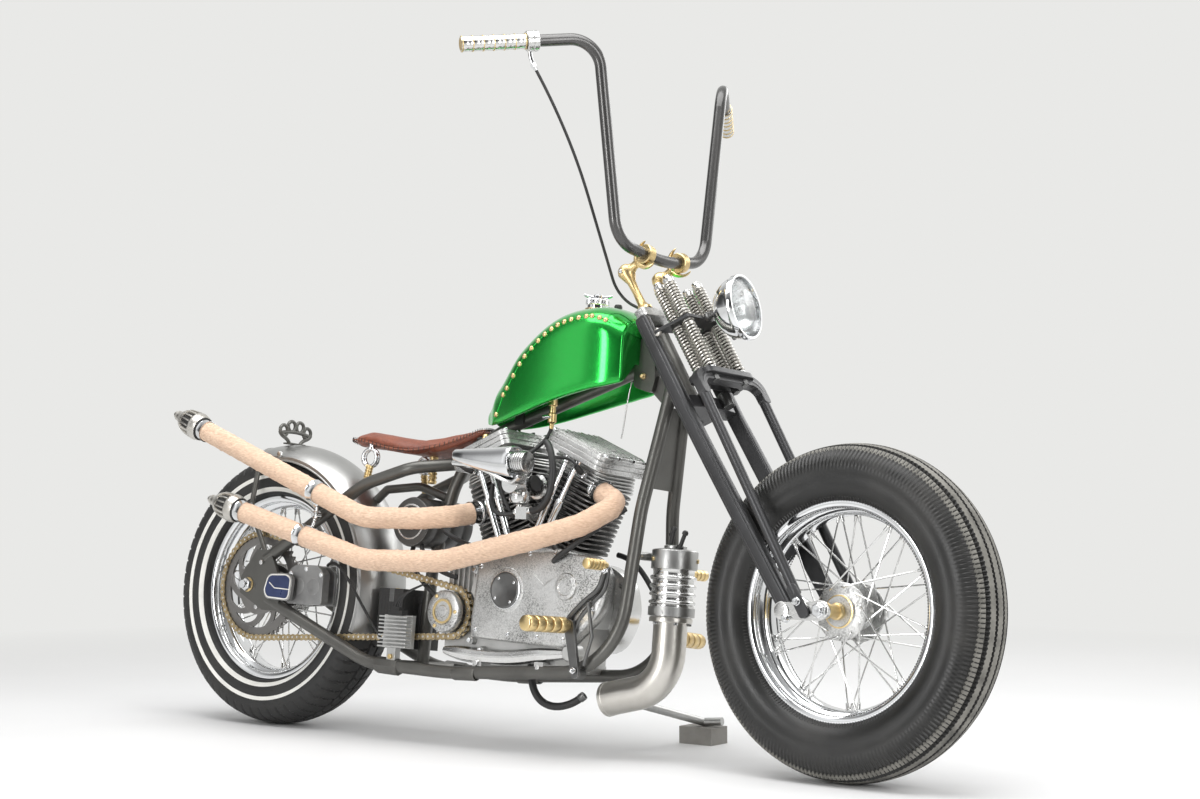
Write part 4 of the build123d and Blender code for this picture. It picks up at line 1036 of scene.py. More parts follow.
def pushrods():
    """Bright tubes with collars, spring caps and tappet blocks at their feet."""
    tubes, blocks = [], []
    for tilt in VEE.values():
        for offset in (-15, 15):
            top = bore(tilt) @ Vector((offset, -86, 331.5))
            low = Vector((CRANK.x + 1.6 * tilt + offset * 0.9, -86, 424))
            run = top - low
            place = facing(low, run)
            length = run.length
            outline = [(11, 0), (11, 12), (8.6, 14), (8.6, length * 0.46), (9.6, length * 0.47),
                       (9.6, length * 0.56), (6.6, length * 0.57), (6.6, length - 16), (9.6, length - 14),
                       (9.6, length)]
            tubes += [turned(outline, place, 24)]
        middle = Vector((CRANK.x + 1.6 * tilt, -86, 412))
        up = bore(tilt).to_3x3() @ Vector((0, 0, 1))
        place = facing(middle, up, (1, 0, 0))
        blocks += [plate(rounded_outline(32, 15, 8), place, 14)]
        blocks += bolts_on(moved(place, 0, 0, 13), ((-27, -9), (27, -9)), HEX_BOLT)
    piece("pushrods_and_tappets", "pushrod_tubes", bevel=0.8, chrome=tubes, cast_alloy=blocks)


cylinders()
heads()
pushrods()


# %% Covers
def gearcase():
    """Timing cover with a raised rim, its screws, a round points cover and a breather boss."""
    corners = [(678, 232), (690, 395), (760, 424), (905, 430), (1010, 415), (1046, 372), (1030, 300),
               (945, 222)]
    outline = smooth_outline(corners, 26)
    place = right_face(0, 0, -88.4)
    cover = [domed(outline, place, 34, 12, 4.5), plate(outline, place, 8)]
    bosses, screws = [], []
    spots = ((700, 250), (703, 385), (765, 412), (835, 416), (905, 419), (995, 404), (1030, 366), (1012, 306),
             (940, 240), (870, 242), (790, 244))
    for x, z in spots:
        bosses += [turned([(9.5, 0), (9.5, 30), (8, 33), (0.1, 33.2)], right_face(x, z, -88.4), 24)]
        screws += [turned(SCREW, right_face(x, z, -121), 16)]
    bosses += [turned([(30, 20), (30, 36), (27, 40), (20, 41), (18, 38), (0.1, 38)],
                      right_face(940, 350, -88.4), 48), turned([(50, 20), (50, 35.5), (47, 38.5), (42, 39.3)],
            right_face(780, 336, -88.4), 64)]
    piece("gearcase_cover_cast", "gearcase_cover", bevel=0.8, engraved_alloy=cover + bosses, chrome=screws)


def points():
    """Dark round cover with a shallow dish, a fine rim and four screws."""
    place = right_face(780, 336, -128.3)
    cover = [turned([(39, 0), (39, 3.4), (37.6, 4.6), (34, 5), (32.5, 4.2), (14, 3.9), (12, 3.2), (0.1, 3)],
                    place, 72)]
    ring = [hoop([(39, -1), (40.4, -0.6), (40.4, 2.6), (39, 3)], place, 72)]
    lifted = moved(place, 0, 0, 3.4)
    screws = [turned([(3.4, 0), (3.4, 1.6), (2.6, 2), (0.1, 2)], moved(lifted, x, y, 0), 14) for x,
              y in circle(30, 4, 35)]
    piece("points_cover_dark", "points_cover", bevel=0.3, dark_alloy=cover, chrome=ring + screws)


def primary():
    """Long left cover with a raised clutch dome, an inspection cap and screws round its edge."""
    corners = [(600, 240), (600, 360), (660, 400), (880, 412), (940, 380), (960, 300), (920, 220), (700, 200)]
    outline = [(-x, z) for x, z in smooth_outline(corners, 40)][::-1]
    place = facing((0, 88.4, 0), (0, 1, 0), (-1, 0, 0))
    cover = [domed(outline, place, 48, 16, 4.5),
             turned([(60, 46), (58, 52), (50, 55.5), (44, 55), (42, 53), (0.1, 54)],
                    moved(place, -690, 300, 0), 72), turned([(32, 46), (32, 53), (29, 55), (0.1, 55.5)],
            moved(place, -850, 320, 0), 48)]
    screws = []
    spots = ((618, 262), (620, 345), (672, 388), (770, 396), (870, 400), (925, 366), (940, 300), (905, 236),
             (800, 222), (705, 216))
    for x, z in spots:
        at = moved(place, -x, z, 0)
        cover += [turned([(9.5, 0), (9.5, 34), (8, 37), (0.1, 37.2)], at, 20)]
        screws += [turned(SCREW, moved(at, 0, 0, 36.6), 16)]
    piece("primary_cover_cast", "primary_cover", bevel=0.8, polished=cover, chrome=screws)


def case_details():
    """Ribs, case bolts, the ribbed foot under the gearcase and the oil pump's body."""
    castings, bolts = [], []
    for x, z in ((668, 226), (668, 378), (882, 206), (700, 206), (820, 200)):
        castings += [turned([(9, 0), (9, 14), (7.5, 16), (0.1, 16)], right_face(x, z, -86), 20)]
        bolts += [turned(HEX_BOLT, right_face(x, z, -101.6), 6)]
    foot = []
    for n in range(25):
        t = n / 24
        x, level = 596 + 340 * t, 201 - 16 * sin(pi * min(1, t * 1.3)) * 0.5 + 30 * max(0, t - 0.55) ** 1.5
        size = 0.35 + 0.65 * sin(pi * min(0.5, 0.08 + t * 2.2)) * (1 - 0.62 * max(0, (t - 0.6) / 0.4) ** 2)
        ring = []
        for k in range(32):
            a = 2 * pi * k / 32
            flute = 1 + 0.045 * cos(8 * a)
            ring.append(Vector((x, -99 + 15 * size * flute * cos(a), level + 16 * size * flute * sin(a))))
        foot.append(ring)
    foot = bridged(foot)
    castings += [turned([(20, 0), (20, 26), (16, 30), (0.1, 30)], right_face(948, 214, -82), 32)]
    for number in range(6):
        x = 590 + 15 * number
        castings += [block((x, -84, 330), (x + 4, -75, 398))]
    piece("case_ribs_and_bolts", bevel=1, cast_alloy=castings, polished=[foot], chrome=bolts)


gearcase()
points()
primary()
case_details()


# %% Carburettor and air scoop
def carburettor():
    """Bell mouth, float bowl with a drain nut, slide housing and throttle pulley."""
    x, z = CRANK.x + 26, 562
    out = right_face(x, z, -70.2)
    body = [turned([(27, 0), (27, 6), (21, 9), (21, 40), (24, 44), (24, 66), (26, 70), (26, 78), (22, 100)],
                   out, 40)]
    bowl = facing((x, -132, z - 8), (0, 0, -1), (1, 0, 0))
    body += [turned([(21, -6), (22, 10), (23, 26), (19, 33), (7, 35), (6, 41), (0.1, 41.5)], bowl, 40)]
    top = facing((x, -128, z + 10), (0, 0, 1), (1, 0, 0))
    body += [turned([(17, 0), (17, 12), (19, 13), (19, 18), (15, 20), (0.1, 21)], top, 32)]
    dark = [spun((x + 21, -118, z + 2), (1, 0, 0.2),
                 [(18, 0), (18, 2), (14, 3), (14, 7), (18, 8), (18, 10), (0.1, 10)], 28)]
    screws = bolts_on(moved(out, 0, 0, 70), circle(22, 4, 45), [(2.6, 0), (2.6, 9.6), (0.1, 9.8)], 12)
    fuel = [(806, -46, 692), (806, -60, 640), (x - 30, -128, 630), (x - 16, -128, 578)]
    dark += [swept(curve(fuel, 20), 4.6, 12)]
    piece("carburettor_body", "carburettor", bevel=0.5, polished=body, black_rubber=dark, chrome=screws)


def air_scoop():
    """Teardrop shell with a rolled mouth, a ribbed bright trumpet inside it, and a swept blade below."""
    def oval(x, half_y, half_z, z_middle, count=40, power=2.4):
        row = []
        for n in range(count):
            t = 2 * pi * n / count
            c, s = cos(t), sin(t)
            row.append(Vector((x, -182 + half_y * copysign(abs(c) ** (2 / power), c),
                               z_middle + half_z * copysign(abs(s) ** (2 / power), s))))
        return row

    shell = [oval(x, y, z, middle) for x, y, z, middle in ((660.5, 12, 8, 616), (661.5, 17, 13, 616),
            (666, 20, 15.5, 615.6), (700, 24, 20, 612), (740, 27, 25.5, 608), (780, 29.5, 30.5, 605),
            (812, 31, 34, 603.6), (824, 31.4, 35, 603.2), (827, 30.6, 34, 603), (827, 27, 30, 603),
            (824, 25, 28, 603), (823, 8, 9, 603))]
    trumpet = facing((822, -182, 604), (1, 0, 0), (0, 0, 1))
    rings = [(14, 0), (20.5, 4), (20.5, 9)]
    for number in range(4):
        rings += [(22.6, 10 + 6 * number), (23, 12.6 + 6 * number), (22.6, 14.6 + 6 * number),
                  (19.6, 15 + 6 * number), (19.6, 15.8 + 6 * number)]
    rings += [(22.5, 35), (22, 38), (15, 39)]
    bright = [turned(rings, trumpet, 56)]
    blade = []
    path = [(663, 600), (722, 594), (768, 580), (810, 564), (834, 561), (850, 572)]
    for n, (x, level) in enumerate(eased_path(path, 5)):
        thick = 6 - 1.6 * n / 25
        blade.append([Vector((x, -182 + y, level + up * thick)) for y,
                      up in ((-16, -0.7), (-18, 0), (-16, 0.8), (0, 1.1), (14, 0.8), (16, 0), (14, -0.8),
                             (0, -1.1))])
    bright += [bridged(blade)]
    stay = [swept([(760, -160, 590), (770, -120, 600), (775, -96, 612)], 5, 12)]
    piece("air_scoop_shell", "air_intake", smooth=45, chrome=[bridged(shell)], polished=bright,
          dark_alloy=stay)


carburettor()
air_scoop()

# %% [markdown]
# ## Fork, bar and lamp
# The springer fork has four coil stacks in front of its stem. Each coil is a swept helix; caps, rods, the
# strap's lugs, the perch and the rockers are turned or cut plates with their bolts.

# %% Fork
SPRING_AHEAD, SPRING_OUT = (83, 111), 50


def along_fork(up, ahead, y=0):
    """A place on the fork whose Z axis points up the steering axis and X axis ahead."""
    return facing(fork_point(up, ahead, y), FORK_UP, FORK_AHEAD)


def fork_plate(outline, place, thickness):
    """A plate whose outline's second number goes up the fork, whichever way the place's Y axis points."""
    turn = -1 if (place.to_3x3() @ Vector((0, 1, 0))).dot(FORK_UP) < 0 else 1
    return plate([(x, turn * up) for x, up in outline], place, thickness)


def coil(low, high, ahead, y, turns, radius=11, wire=2.7):
    """A helix with flattened end turns."""
    points = []
    for n in range(turns * 12 + 1):
        share = n / (turns * 12)
        climb = min(1, max(0, (share - 0.03) / 0.94))
        angle = 2 * pi * share * turns
        up = low + wire + (high - low - 2 * wire) * climb
        points.append(fork_point(up, ahead + radius * cos(angle), y + radius * sin(angle)))
    return swept(points, wire, 7)


def springs():
    """Main springs above the perch, caps, centre rods, and the strap that ties them."""
    coils, caps, rods, dark, lugs = [], [], [], [], []
    for side in (-1, 1):
        y = side * SPRING_OUT
        for ahead in SPRING_AHEAD:
            coils += [coil(590, 704, ahead, y, 15), coil(719, 808, ahead, y, 12)]
            rods += [turned([(6, 0), (6, 222), (0.1, 222)], along_fork(588, ahead, y), 16)]
            caps += [turned([(11.8, 0), (11.8, 8), (9.5, 11), (9, 15), (6, 17.6), (0.1, 18)],
                            along_fork(808, ahead, y), 28), turned([(12, 0), (12, 3.4), (0.1, 3.4)],
                    along_fork(586.4, ahead, y), 28)]
            lugs += [turned([(13, 0), (14, 1), (14, 9), (13, 10), (0.1, 10)], along_fork(705.6, ahead, y),
                            32)]
    strap = [(50.4, -96), (64.4, -96), (128, -66), (128, 66), (64.4, 96), (50.4, 96), (50.4, 84), (62, 82),
             (70, 30), (98, 26), (98, -26), (70, -30), (62, -82), (50.4, -84)]
    dark += [plate(smooth_outline(strap, 5, 3), along_fork(708, 0), 7)]
    for side in (-1, 1):
        lugs += [spun(fork_point(711.5, 57.4, side * 88), (0, side, 0),
                      [(9, 0), (9, 5), (7, 6.5), (0.1, 6.8)], 24)]
    piece("fork_coil_springs", "fork_springs", body="fork", bevel=0.4, nickel=coils + lugs, polished=caps,
          fork_paint=dark, dark_alloy=rods)


def fork_details():
    """Big nuts, perch bolts and leg caps that the CAD leaves to the scene."""
    bright, dull = [], []
    for side in (-1, 1):
        y = side * SPRING_OUT
        for ahead in SPRING_AHEAD:
            dull += [turned([(9, -14), (9, -4), (7, -3), (7, 0), (0.1, 0)], along_fork(571, ahead, y), 6)]
        bright += [spun(fork_point(28, 49, side * 106), (0, side, 0),
                        [(10, 0), (10, 2), (8.4, 3), (8.4, 9), (6, 11.5), (0.1, 12)]),
                   spun(fork_point(40, 91, side * 113.8), (0, side, 0),
                        [(9, 0), (9, 3), (7.4, 4), (7.4, 9), (0.1, 10)])]
        dull += [turned([(13.5, 0), (13.5, 30), (11, 34), (0.1, 35)], along_fork(534, 62, side * 34), 24)]
    bright += [turned([(18, 0), (18, 7), (14, 10), (10, 12), (9, 15), (0.1, 15.6)], along_fork(788.6, 0), 6),
               turned([(25.6, 0), (25.6, 2), (0.1, 2)], along_fork(786.4, 0), 48)]
    piece("fork_nuts", body="fork", bevel=0.6, chrome=bright, dark_alloy=dull)


def rockers():
    """Polished links with bossed eyes, pivot bolts and the axle's cap nuts with their brass spacers."""
    plates, bolts, brass = [], [], []
    for side in (-1, 1):
        inner = 96.3
        outline = [(66, 36), (66, 52), (58, 60), (34, 100), (18, 134), (10, 140), (-8, 140), (-16, 134),
                   (-17, 118), (-12, 106), (10, 72), (34, 38), (44, 33), (60, 33)]
        flat = [(ahead, up) for up, ahead in smooth_outline(outline, 7, 4)]
        place = facing(fork_point(0, 0, side * inner), (0, side, 0), FORK_AHEAD)
        plates += [fork_plate(flat, place, 10)]
        for up, ahead, radius in ((46, 46, 17), (28, 92, 13)):
            at = fork_point(up, ahead, side * (inner + 9.6))
            plates += [spun(at, (0, side, 0), [(radius, 0), (radius, 2.2), (radius - 2, 3), (0.1, 3)], 36)]
        at = fork_point(0, 125, side * (inner + 9.8))
        plates += [spun(at, (0, side, 0), [(16.5, 0), (16.5, 1.6), (9.8, 2)], 36)]
    piece("fork_rockers", "rockers", body="fork", bevel=1, polished=plates)
    x, z = FRONT_AXLE.x, FRONT_AXLE.z
    bolts += [rod((x, -122, z), (x, 122, z), 9.4, 24)]
    for side in (-1, 1):
        out = facing((x, side * 106.6, z), (0, side, 0))
        bolts += [turned([(15.6, 0), (15.6, 10), (13.6, 11.6), (10.5, 11.8), (10.5, 15), (0.1, 16)], out, 6)]
        start = facing((x, side * 46.4, z), (0, side, 0))
        brass += [turned([(17, 0), (17, 8), (13.5, 10), (13.5, 40), (16.8, 42), (16.8, 49.4), (9.6, 49.4)],
                         start, 40)]
    piece("front_axle_and_spacers", "front_axle", body="fork", bevel=0.5, chrome=bolts, brass=brass)


def rounded_bar(stations, y, half_y, corner=6):
    """A bar along the fork at one y, through (up, back, front) stations, with rounded corners."""
    sections = []
    for up, back, front in stations:
        ring = rounded_outline((front - back) / 2, half_y, corner, 4)
        sections.append([fork_point(up, (front + back) / 2 + a, y + b) for a, b in ring])
    return bridged(sections)


def rigid_legs():
    """Tapered legs from the top tree to the rockers, with a raised web down their outer face."""
    shapes = []
    for side in (-1, 1):
        stations = [(765, 22, 48), (758, 19, 51), (556, 18, 52), (532, 18, 52), (400, 21, 56), (200, 27, 63),
                    (62, 32, 67), (46, 33, 66), (38, 40, 60)]
        shapes += [rounded_bar(stations, side * 86, 9.8, 5)]
        web = [(up, back + 7, front - 7) for up, back, front in stations[1:-2]]
        shapes += [rounded_bar(web, side * 88, 9.4, 3)]
    piece("fork_rigid_legs", "rear_legs", body="fork", bevel=0.6, fork_paint=shapes)


def sprung_legs():
    """Two rods that bend over into the arched perch, its plate, and flat eyes at the rockers."""
    shapes = []
    for side in (-1, 1):
        line = route_with_bends([fork_point(56, 91, side * 104), fork_point(572, 104, side * 104),
                fork_point(573, 104, side * 60)], (34,), 5)
        shapes += [swept(line, lambda s, _: 10.6 if s < 0.8 else 10.6 + 3 * (s - 0.8), 20)]
        eye = smooth_outline([(78, 80), (78, 102), (6, 103), (6, 79)], 9)
        inner = facing(fork_point(0, 0, side * 107.4), (0, side, 0), FORK_AHEAD)
        shapes += [fork_plate([(ahead, up) for up, ahead in eye], inner, 6.6)]
    arch = [(66, -84), (66, 84), (100, 88), (124, 78), (124, -78), (100, -88)]
    shapes += [plate(smooth_outline(arch, 14), along_fork(571.4, 0), 14)]
    apron = [(-92, 587), (92, 587), (116, 566), (116, 520), (93, 520), (93, 548), (80, 559), (-80, 559),
             (-93, 548), (-93, 520), (-116, 520), (-116, 566)]
    front = facing(fork_point(0, 95), FORK_AHEAD, (0, 1, 0))
    shapes += [fork_plate(smooth_outline(apron, 14, 5), front, 19)]
    piece("fork_sprung_legs", "front_legs", body="fork", bevel=1.6, fork_paint=shapes)


def stem_and_trees():
    """Dark lower tree as a deep casting, hammered top tree, and the stem between them."""
    dark = [rod(fork_point(532, 0), fork_point(802, 0), 12.6, 28)]
    low = [(-26, -12), (-26, 12), (-8, 27), (20, 40), (20, 76), (50, 76), (54, 40), (54, -40), (50, -76),
           (20, -76), (20, -40), (-8, -27)]
    dark += [plate(smooth_outline(low, 10), along_fork(532, 0), 30)]
    high = [(-26, -14), (-26, 14), (-10, 28), (18, 52), (18, 86), (48, 88), (52, 40), (52, -40), (48, -88),
            (18, -86), (18, -52), (-10, -28)]
    bright = [plate(smooth_outline(high, 12), along_fork(766.4, 0), 20.5),
              turned([(24, 0), (24.6, 1), (24.6, 5), (22, 6.4)], along_fork(786.8, 0), 40)]
    for side in (-1, 1):
        bright += [turned([(11, 0), (11, 3), (8, 5), (0.1, 5.4)], along_fork(786.6, 35, side * 72), 6)]
    piece("fork_stem_and_trees", "fork_stem", body="fork", bevel=1.4, fork_paint=dark, engraved_alloy=bright)


springs()
fork_details()
rockers()
rigid_legs()
sprung_legs()
stem_and_trees()


# %% [markdown]
# The bar stands on brass dog-bone risers. Each ends in a claw: three pointed horns round the tube. The
# grips are turned aluminium with raised brass rings.

# %% Bar, risers and grips
BAR_MIDDLE, BAR_CORNER = Vector((1048, 0, 1051)), Vector((1038, -150, 1074))
BAR_TOP, BAR_END = Vector((1014, -217, 1494)), Vector((853.7, -453, 1446.3))


def horn(centre, along, start, sweep, inner, thick, width):
    """A tapering curved claw round the bar: it starts broad and ends in a point."""
    across = along.orthogonal().normalized()
    up = along.cross(across).normalized()
    sections = []
    for n in range(17):
        t = n / 16
        angle = start + sweep * t
        out = across * cos(angle) + up * sin(angle)
        fat = thick * (1 - t) ** 0.7 + 0.5
        lift = inner + 13 * t ** 2
        half = (width * (1 - t) ** 0.6 + 0.4) / 2
        middle = centre + out * lift
        sections.append([middle - along * half, middle + out * fat * 0.3 - along * half * 1.05,
                         middle + out * fat - along * half * 0.6, middle + out * fat + along * half * 0.6,
                         middle + out * fat * 0.3 + along * half * 1.05, middle + along * half])
    return bridged(sections)


def risers():
    shapes, bolts = [], []
    for side in (-1, 1):
        corner = Vector((BAR_CORNER.x, side * 150, BAR_CORNER.z))
        along = (corner - BAR_MIDDLE).normalized()
        bar = BAR_MIDDLE + (corner - BAR_MIDDLE) * (58 / 150)
        foot, knee = fork_point(788.6, 34, side * 58), fork_point(890, 34, side * 58)
        up = knee - foot
        shapes += [spun(foot, up, [(17, 0), (17, 6), (13, 10), (9, 20), (8, up.length * 0.5),
                (9.5, up.length * 0.75), (16, up.length - 10), (19.5, up.length), (17, up.length + 10),
                (9, up.length + 17), (0.1, up.length + 19)], 36)]
        run = bar - knee
        shapes += [spun(knee, run, [(18, -6), (18.5, 0), (13, 12), (9, 22), (9, run.length - 24),
                (12, run.length - 16), (12.2, run.length - 13.5)], 32)]
        clamp = [(13, -10), (20, -10), (21.7, -8), (21.7, 8), (20, 10), (13, 10)]
        shapes += [hoop(clamp, facing(bar, along), 48)]
        toward = run.normalized()
        across = along.orthogonal().normalized()
        base = atan2(toward.dot(along.cross(across)), toward.dot(across))
        for turn in (1, -1):
            shapes += [horn(bar, along, base + pi + turn * 0.15, -turn * 2.1, 20, 12, 20)]
        bolts += [spun(knee + Vector((0, side * 19, 0)), (0, side, 0), SCREW, 16)]
    piece("brass_risers", "risers", body="fork", bevel=0.5, brass=shapes, chrome=bolts)


def grips():
    body, rings = [], []
    for side in (-1, 1):
        end = Vector((BAR_END.x, side * 453, BAR_END.z))
        inward = (Vector((BAR_TOP.x, side * 217, BAR_TOP.z)) - end).normalized()
        place = facing(end - inward * 6, inward)
        outline = [(13.1, 4), (13.1, 0), (15, -0)]
        for number in range(6):
            low = 4 + 22.5 * number
            outline += [(15.4, low), (16.2, low + 4), (15.6, low + 9), (15.6, low + 12), (16.2, low + 17),
                        (15.4, low + 21)]
        outline += [(15, 138), (13.1, 138)]
        body += [hoop(outline, place, 28)]
        for number in range(7):
            low = 0.6 + 22.4 * number
            ring = [(14.6, low), (17, low + 0.4), (17, low + 2.6), (14.6, low + 3)]
            rings += [hoop(ring, place, 28)]
        rings += [turned([(13.6, 0), (13.6, -0.2), (0.1, -0.2), (0.1, 4)], place, 32)]
    piece("ringed_grips", "grips", body="fork", bevel=0.2, polished=body, brass=rings)


def throttle():
    """Split housing with screws, and the bent ferrule that leads the cable into it."""
    end = Vector((BAR_END.x, -453, BAR_END.z))
    inward = (Vector((BAR_TOP.x, -217, BAR_TOP.z)) - end).normalized()
    place = facing(end + inward * 133, inward)
    body = [hoop([(13, 0), (20, 0), (22, 2), (22, 12), (21, 13), (21, 13.6), (22, 14.6), (22, 24), (20, 26),
                  (13, 26)], place, 48)]
    screws = []
    down = (Vector((0, 0, -1)) - inward * -inward.z).normalized()
    for share in (6, 20):
        screws += [spun(end + inward * (133 + share) + down * 18, down, SCREW, 14)]
    cable_top, cable_run = Vector((940, -330, 1418)), Vector((38, 80, -128)).normalized()
    leave = end + inward * 139 + down * 19
    bend = [leave, leave + down * 14, cable_top - cable_run * 14, cable_top + cable_run * 10]
    ferrule = [swept(curve(bend, 20), 4.4, 16), spun(cable_top - cable_run * 2, cable_run,
            [(4.4, -4), (6.6, -4), (6.6, 4), (4.4, 4)])]
    piece("throttle_housing_split", "throttle_housing", body="fork", bevel=0.4, polished=body,
          chrome=screws + ferrule)


risers()
grips()
throttle()


# %% Headlight
def headlight():
    """Chrome bowl drawn to a point, rolled rim, fluted lens, the bulb's cap behind it, and the bracket."""
    tilt, aside = radians(12), radians(9)
    out = Vector((cos(tilt) * cos(aside), cos(tilt) * sin(aside), sin(tilt)))
    place = facing((1262, 0, 946), out, (0, 1, 0))
    bowl = [(0.1, -60), (14, -59.6), (30, -56), (45, -47), (56, -35), (63.6, -20), (67, -10), (68.6, -4),
            (70, -3), (70, 4), (68.5, 7.4), (65.5, 8), (63.6, 6.6), (63.6, 2), (59, -14), (49, -30),
            (34, -44), (16, -53), (0.1, -54)]
    points, faces = turned(bowl, place, 72)
    shell = [(points, faces[:-2])]
    glass = [(0.1, 9.2), (20, 8.4), (40, 6.4), (55, 3.6), (63, 1.2), (63, -0.8), (55, 1.4), (40, 4.2),
             (20, 6.2), (0.1, 7)]
    points, faces = turned(glass, place, 72)
    lens = [(points, faces[:-2])]
    bulb = [turned([(9, -50), (10, -40), (14, -34), (15, -22), (13, -18), (0.1, -17)], place, 28)]
    start = fork_point(711.5, 128.3)
    arm_end = start + FORK_AHEAD * 30
    stalk = [swept([start, arm_end - FORK_AHEAD * 6, arm_end, (1246, 0, 884), (1248, 0, 902)], 7, 16),
             spun(start, FORK_AHEAD, [(12, 0), (12, 6), (9, 8), (9, 12), (0.1, 12)], 24)]
    nuts = [spun((1249, 0, 890), (0, 0, 1), [(13, -4), (13, 4), (10, 7), (0.1, 7)])]
    piece("headlight_bullet", "headlight", body="fork", smooth=50, chrome=shell, lamp_glass=lens,
          dark_alloy=bulb + stalk, brass=nuts)


headlight()

# %% [markdown]
# ## Tank, seat and fender
# The tank is skinned over rows of one cross-section: flat sides, round shoulders, and a tunnel below for
# the backbone. Domed studs follow its shoulders; a ray from outside finds the seat of each one.

# %% Tank
TANK_ROWS = ((604, 22, 704, 738), (640, 50, 700, 790), (720, 80, 715, 876), (820, 98, 742, 940),
             (920, 102, 766, 958), (970, 96, 776, 948), (1004, 84, 784, 930))


def eased_row(table, x):
    """A table's row at x, on a smooth curve through its rows."""
    last = len(table) - 1
    at = max(n for n in range(last) if table[n][0] <= x)
    a, b, c, d = (table[min(max(at + k, 0), last)] for k in (-1, 0, 1, 2))
    t = (x - b[0]) / (c[0] - b[0])
    return [eased(*near, t) for near in zip(a[1:], b[1:], c[1:], d[1:])]


def tank_ring(x, half, low, high, shrink=1):
    """Half of a cross-section, crown to tunnel down the left side, then its mirror image."""
    shoulder = min(64, (high - low) * 0.62)
    inner, roof = half * 0.5, low + min(52, (high - low) * 0.3)
    line = []
    for n in range(13):
        t = pi / 2 * n / 12
        line.append((half * sin(t) ** 0.8, high - shoulder + shoulder * cos(t) ** 0.8))
    for share in (0.25, 0.5, 0.75):
        line.append((half * (1 - 0.03 * share ** 2), (high - shoulder) * (1 - share) + (low + 6) * share))
    line += [(half * 0.965, low + 5), (half * 0.93, low + 0.6), (half * 0.86, low), (half * 0.8, low + 3),
             (inner + 4, roof - 6), (inner, roof), (inner * 0.5, roof + 2)]
    ring = line + [(-y, z) for y, z in reversed(line[1:])]
    middle = (low + high) / 2
    return [Vector((x, y * shrink, middle + (z - middle) * shrink)) for y, z in ring]


def tank():
    rings = [tank_ring(599.5, *TANK_ROWS[0][1:], 0.55), tank_ring(601, *TANK_ROWS[0][1:], 0.85)]
    rings += [tank_ring(604 + 12.5 * n, *eased_row(TANK_ROWS, 604 + 12.5 * n)) for n in range(32)]
    rings += [tank_ring(1003, *TANK_ROWS[-1][1:], 0.985), tank_ring(1007, *TANK_ROWS[-1][1:], 0.94),
              tank_ring(1008, *TANK_ROWS[-1][1:], 0.85)]
    shape = bridged(rings)
    piece("fuel_tank_candy", "fuel_tank", smooth=75, subdivide=1, tank_paint=[shape])
    return BVHTree.FromPolygons(*shape)


def tank_trim(shell):
    """Domed studs along a raised seam on both shoulders, and the front bracket with its bolts."""
    studs, seam = [], []
    for side in (-1, 1):
        line = []
        for number in range(73):
            x = 606 + 386 * number / 72
            slope = (eased_row(TANK_ROWS, x + 2)[2] - eased_row(TANK_ROWS, x - 2)[2]) / 4
            inward = (48 - 20 * number / 72) / hypot(slope, 1)
            x, level = x + slope * inward, eased_row(TANK_ROWS, x)[2] - inward
            at, normal, _, _ = shell.ray_cast(Vector((x, side * 300, level)), Vector((0, -side, 0)))
            if at:
                line.append((at, normal if normal.y * side > 0 else -normal))
        seam += [swept([at + normal * 0.2 for at, normal in line], 1.3, 6)]
        for at, normal in line[2::4]:
            studs += [spun(at, normal, [(6, -1.5), (6, 0.9), (5.2, 2.4), (3.6, 3.8), (1.6, 4.6), (0.1, 4.7)],
                           20)]
        studs += [spun((1022, side * 15, 806), (0, side, 0), ACORN)]
    bracket = [plate(smooth_outline([(996, 784), (1044, 770), (1052, 800), (1040, 900), (996, 880)], 10),
                     right_face(0, 0, 15), 30)]
    piece("tank_studs_and_bracket", smooth=60, brass=studs, tank_paint=seam, frame_paint=bracket)


def tank_filler():
    """Filler neck, knurled cap with a two-armed spinner, small dark knob, tap and the tank's rubbers."""
    place = Matrix.Translation((865, 10, 948))
    cap = [(30, 2), (30, 8), (27, 10), (23, 11), (23, 20), (25.5, 21), (25.5, 31), (23, 33.5), (12, 35),
           (11, 42), (8, 45), (0.1, 45.6)]

    def knurl(angle, row):
        return 0.7 * sin(angle * 36) if 5 <= row <= 6 else 0

    bright = [turned(cap, place, 144, wave=knurl)]
    for turn in (0.6, 0.6 + pi):
        tip = Vector((cos(turn), sin(turn), 0))
        centre = Vector((865, 10, 986))
        bright += [swept([centre, centre + tip * 12, centre + tip * 24 + Vector((0, 0, 2)),
                          centre + tip * 31 + Vector((0, 0, 5))], lambda s, _: 5 - 2 * s, 12)]
    brass = [hoop([(27.4, 9.4), (27.4, 12.4), (23, 12.8)], place, 64)]
    dark = [turned([(9, 0), (9, 10), (7, 14), (0.1, 15)], Matrix.Translation((925, 6, 953)), 24)]
    tap = facing((806, -46, 756), (0, 0, -1))
    brass += [turned([(10, 0), (10, 14), (7, 16), (7, 30), (9.5, 32), (9.5, 50), (5, 54), (5, 66), (0.1, 66)],
                     tap, 24)]
    bright += [swept([(806, -46, 716), (806, -60, 716), (798, -70, 714)], 4, 12)]
    for x, level in ((690, 712), (960, 807)):
        for side in (-1, 1):
            dark += [block((x - 12, side * 16 - 2, level - 8), (x + 12, side * 16 + 2, level + 20))]
    piece("filler_and_tap", "tank_fittings", bevel=0.5, chrome=bright, brass=brass, black_rubber=dark)


tank_trim(tank())
tank_filler()


# %% [markdown]
# The saddle is padded leather over a thin pan. Its shape starts a little small; cloth pressure swells it,
# and each point is kept within a few millimetres of where it began. Seam, piping and laces are added
# afterwards.

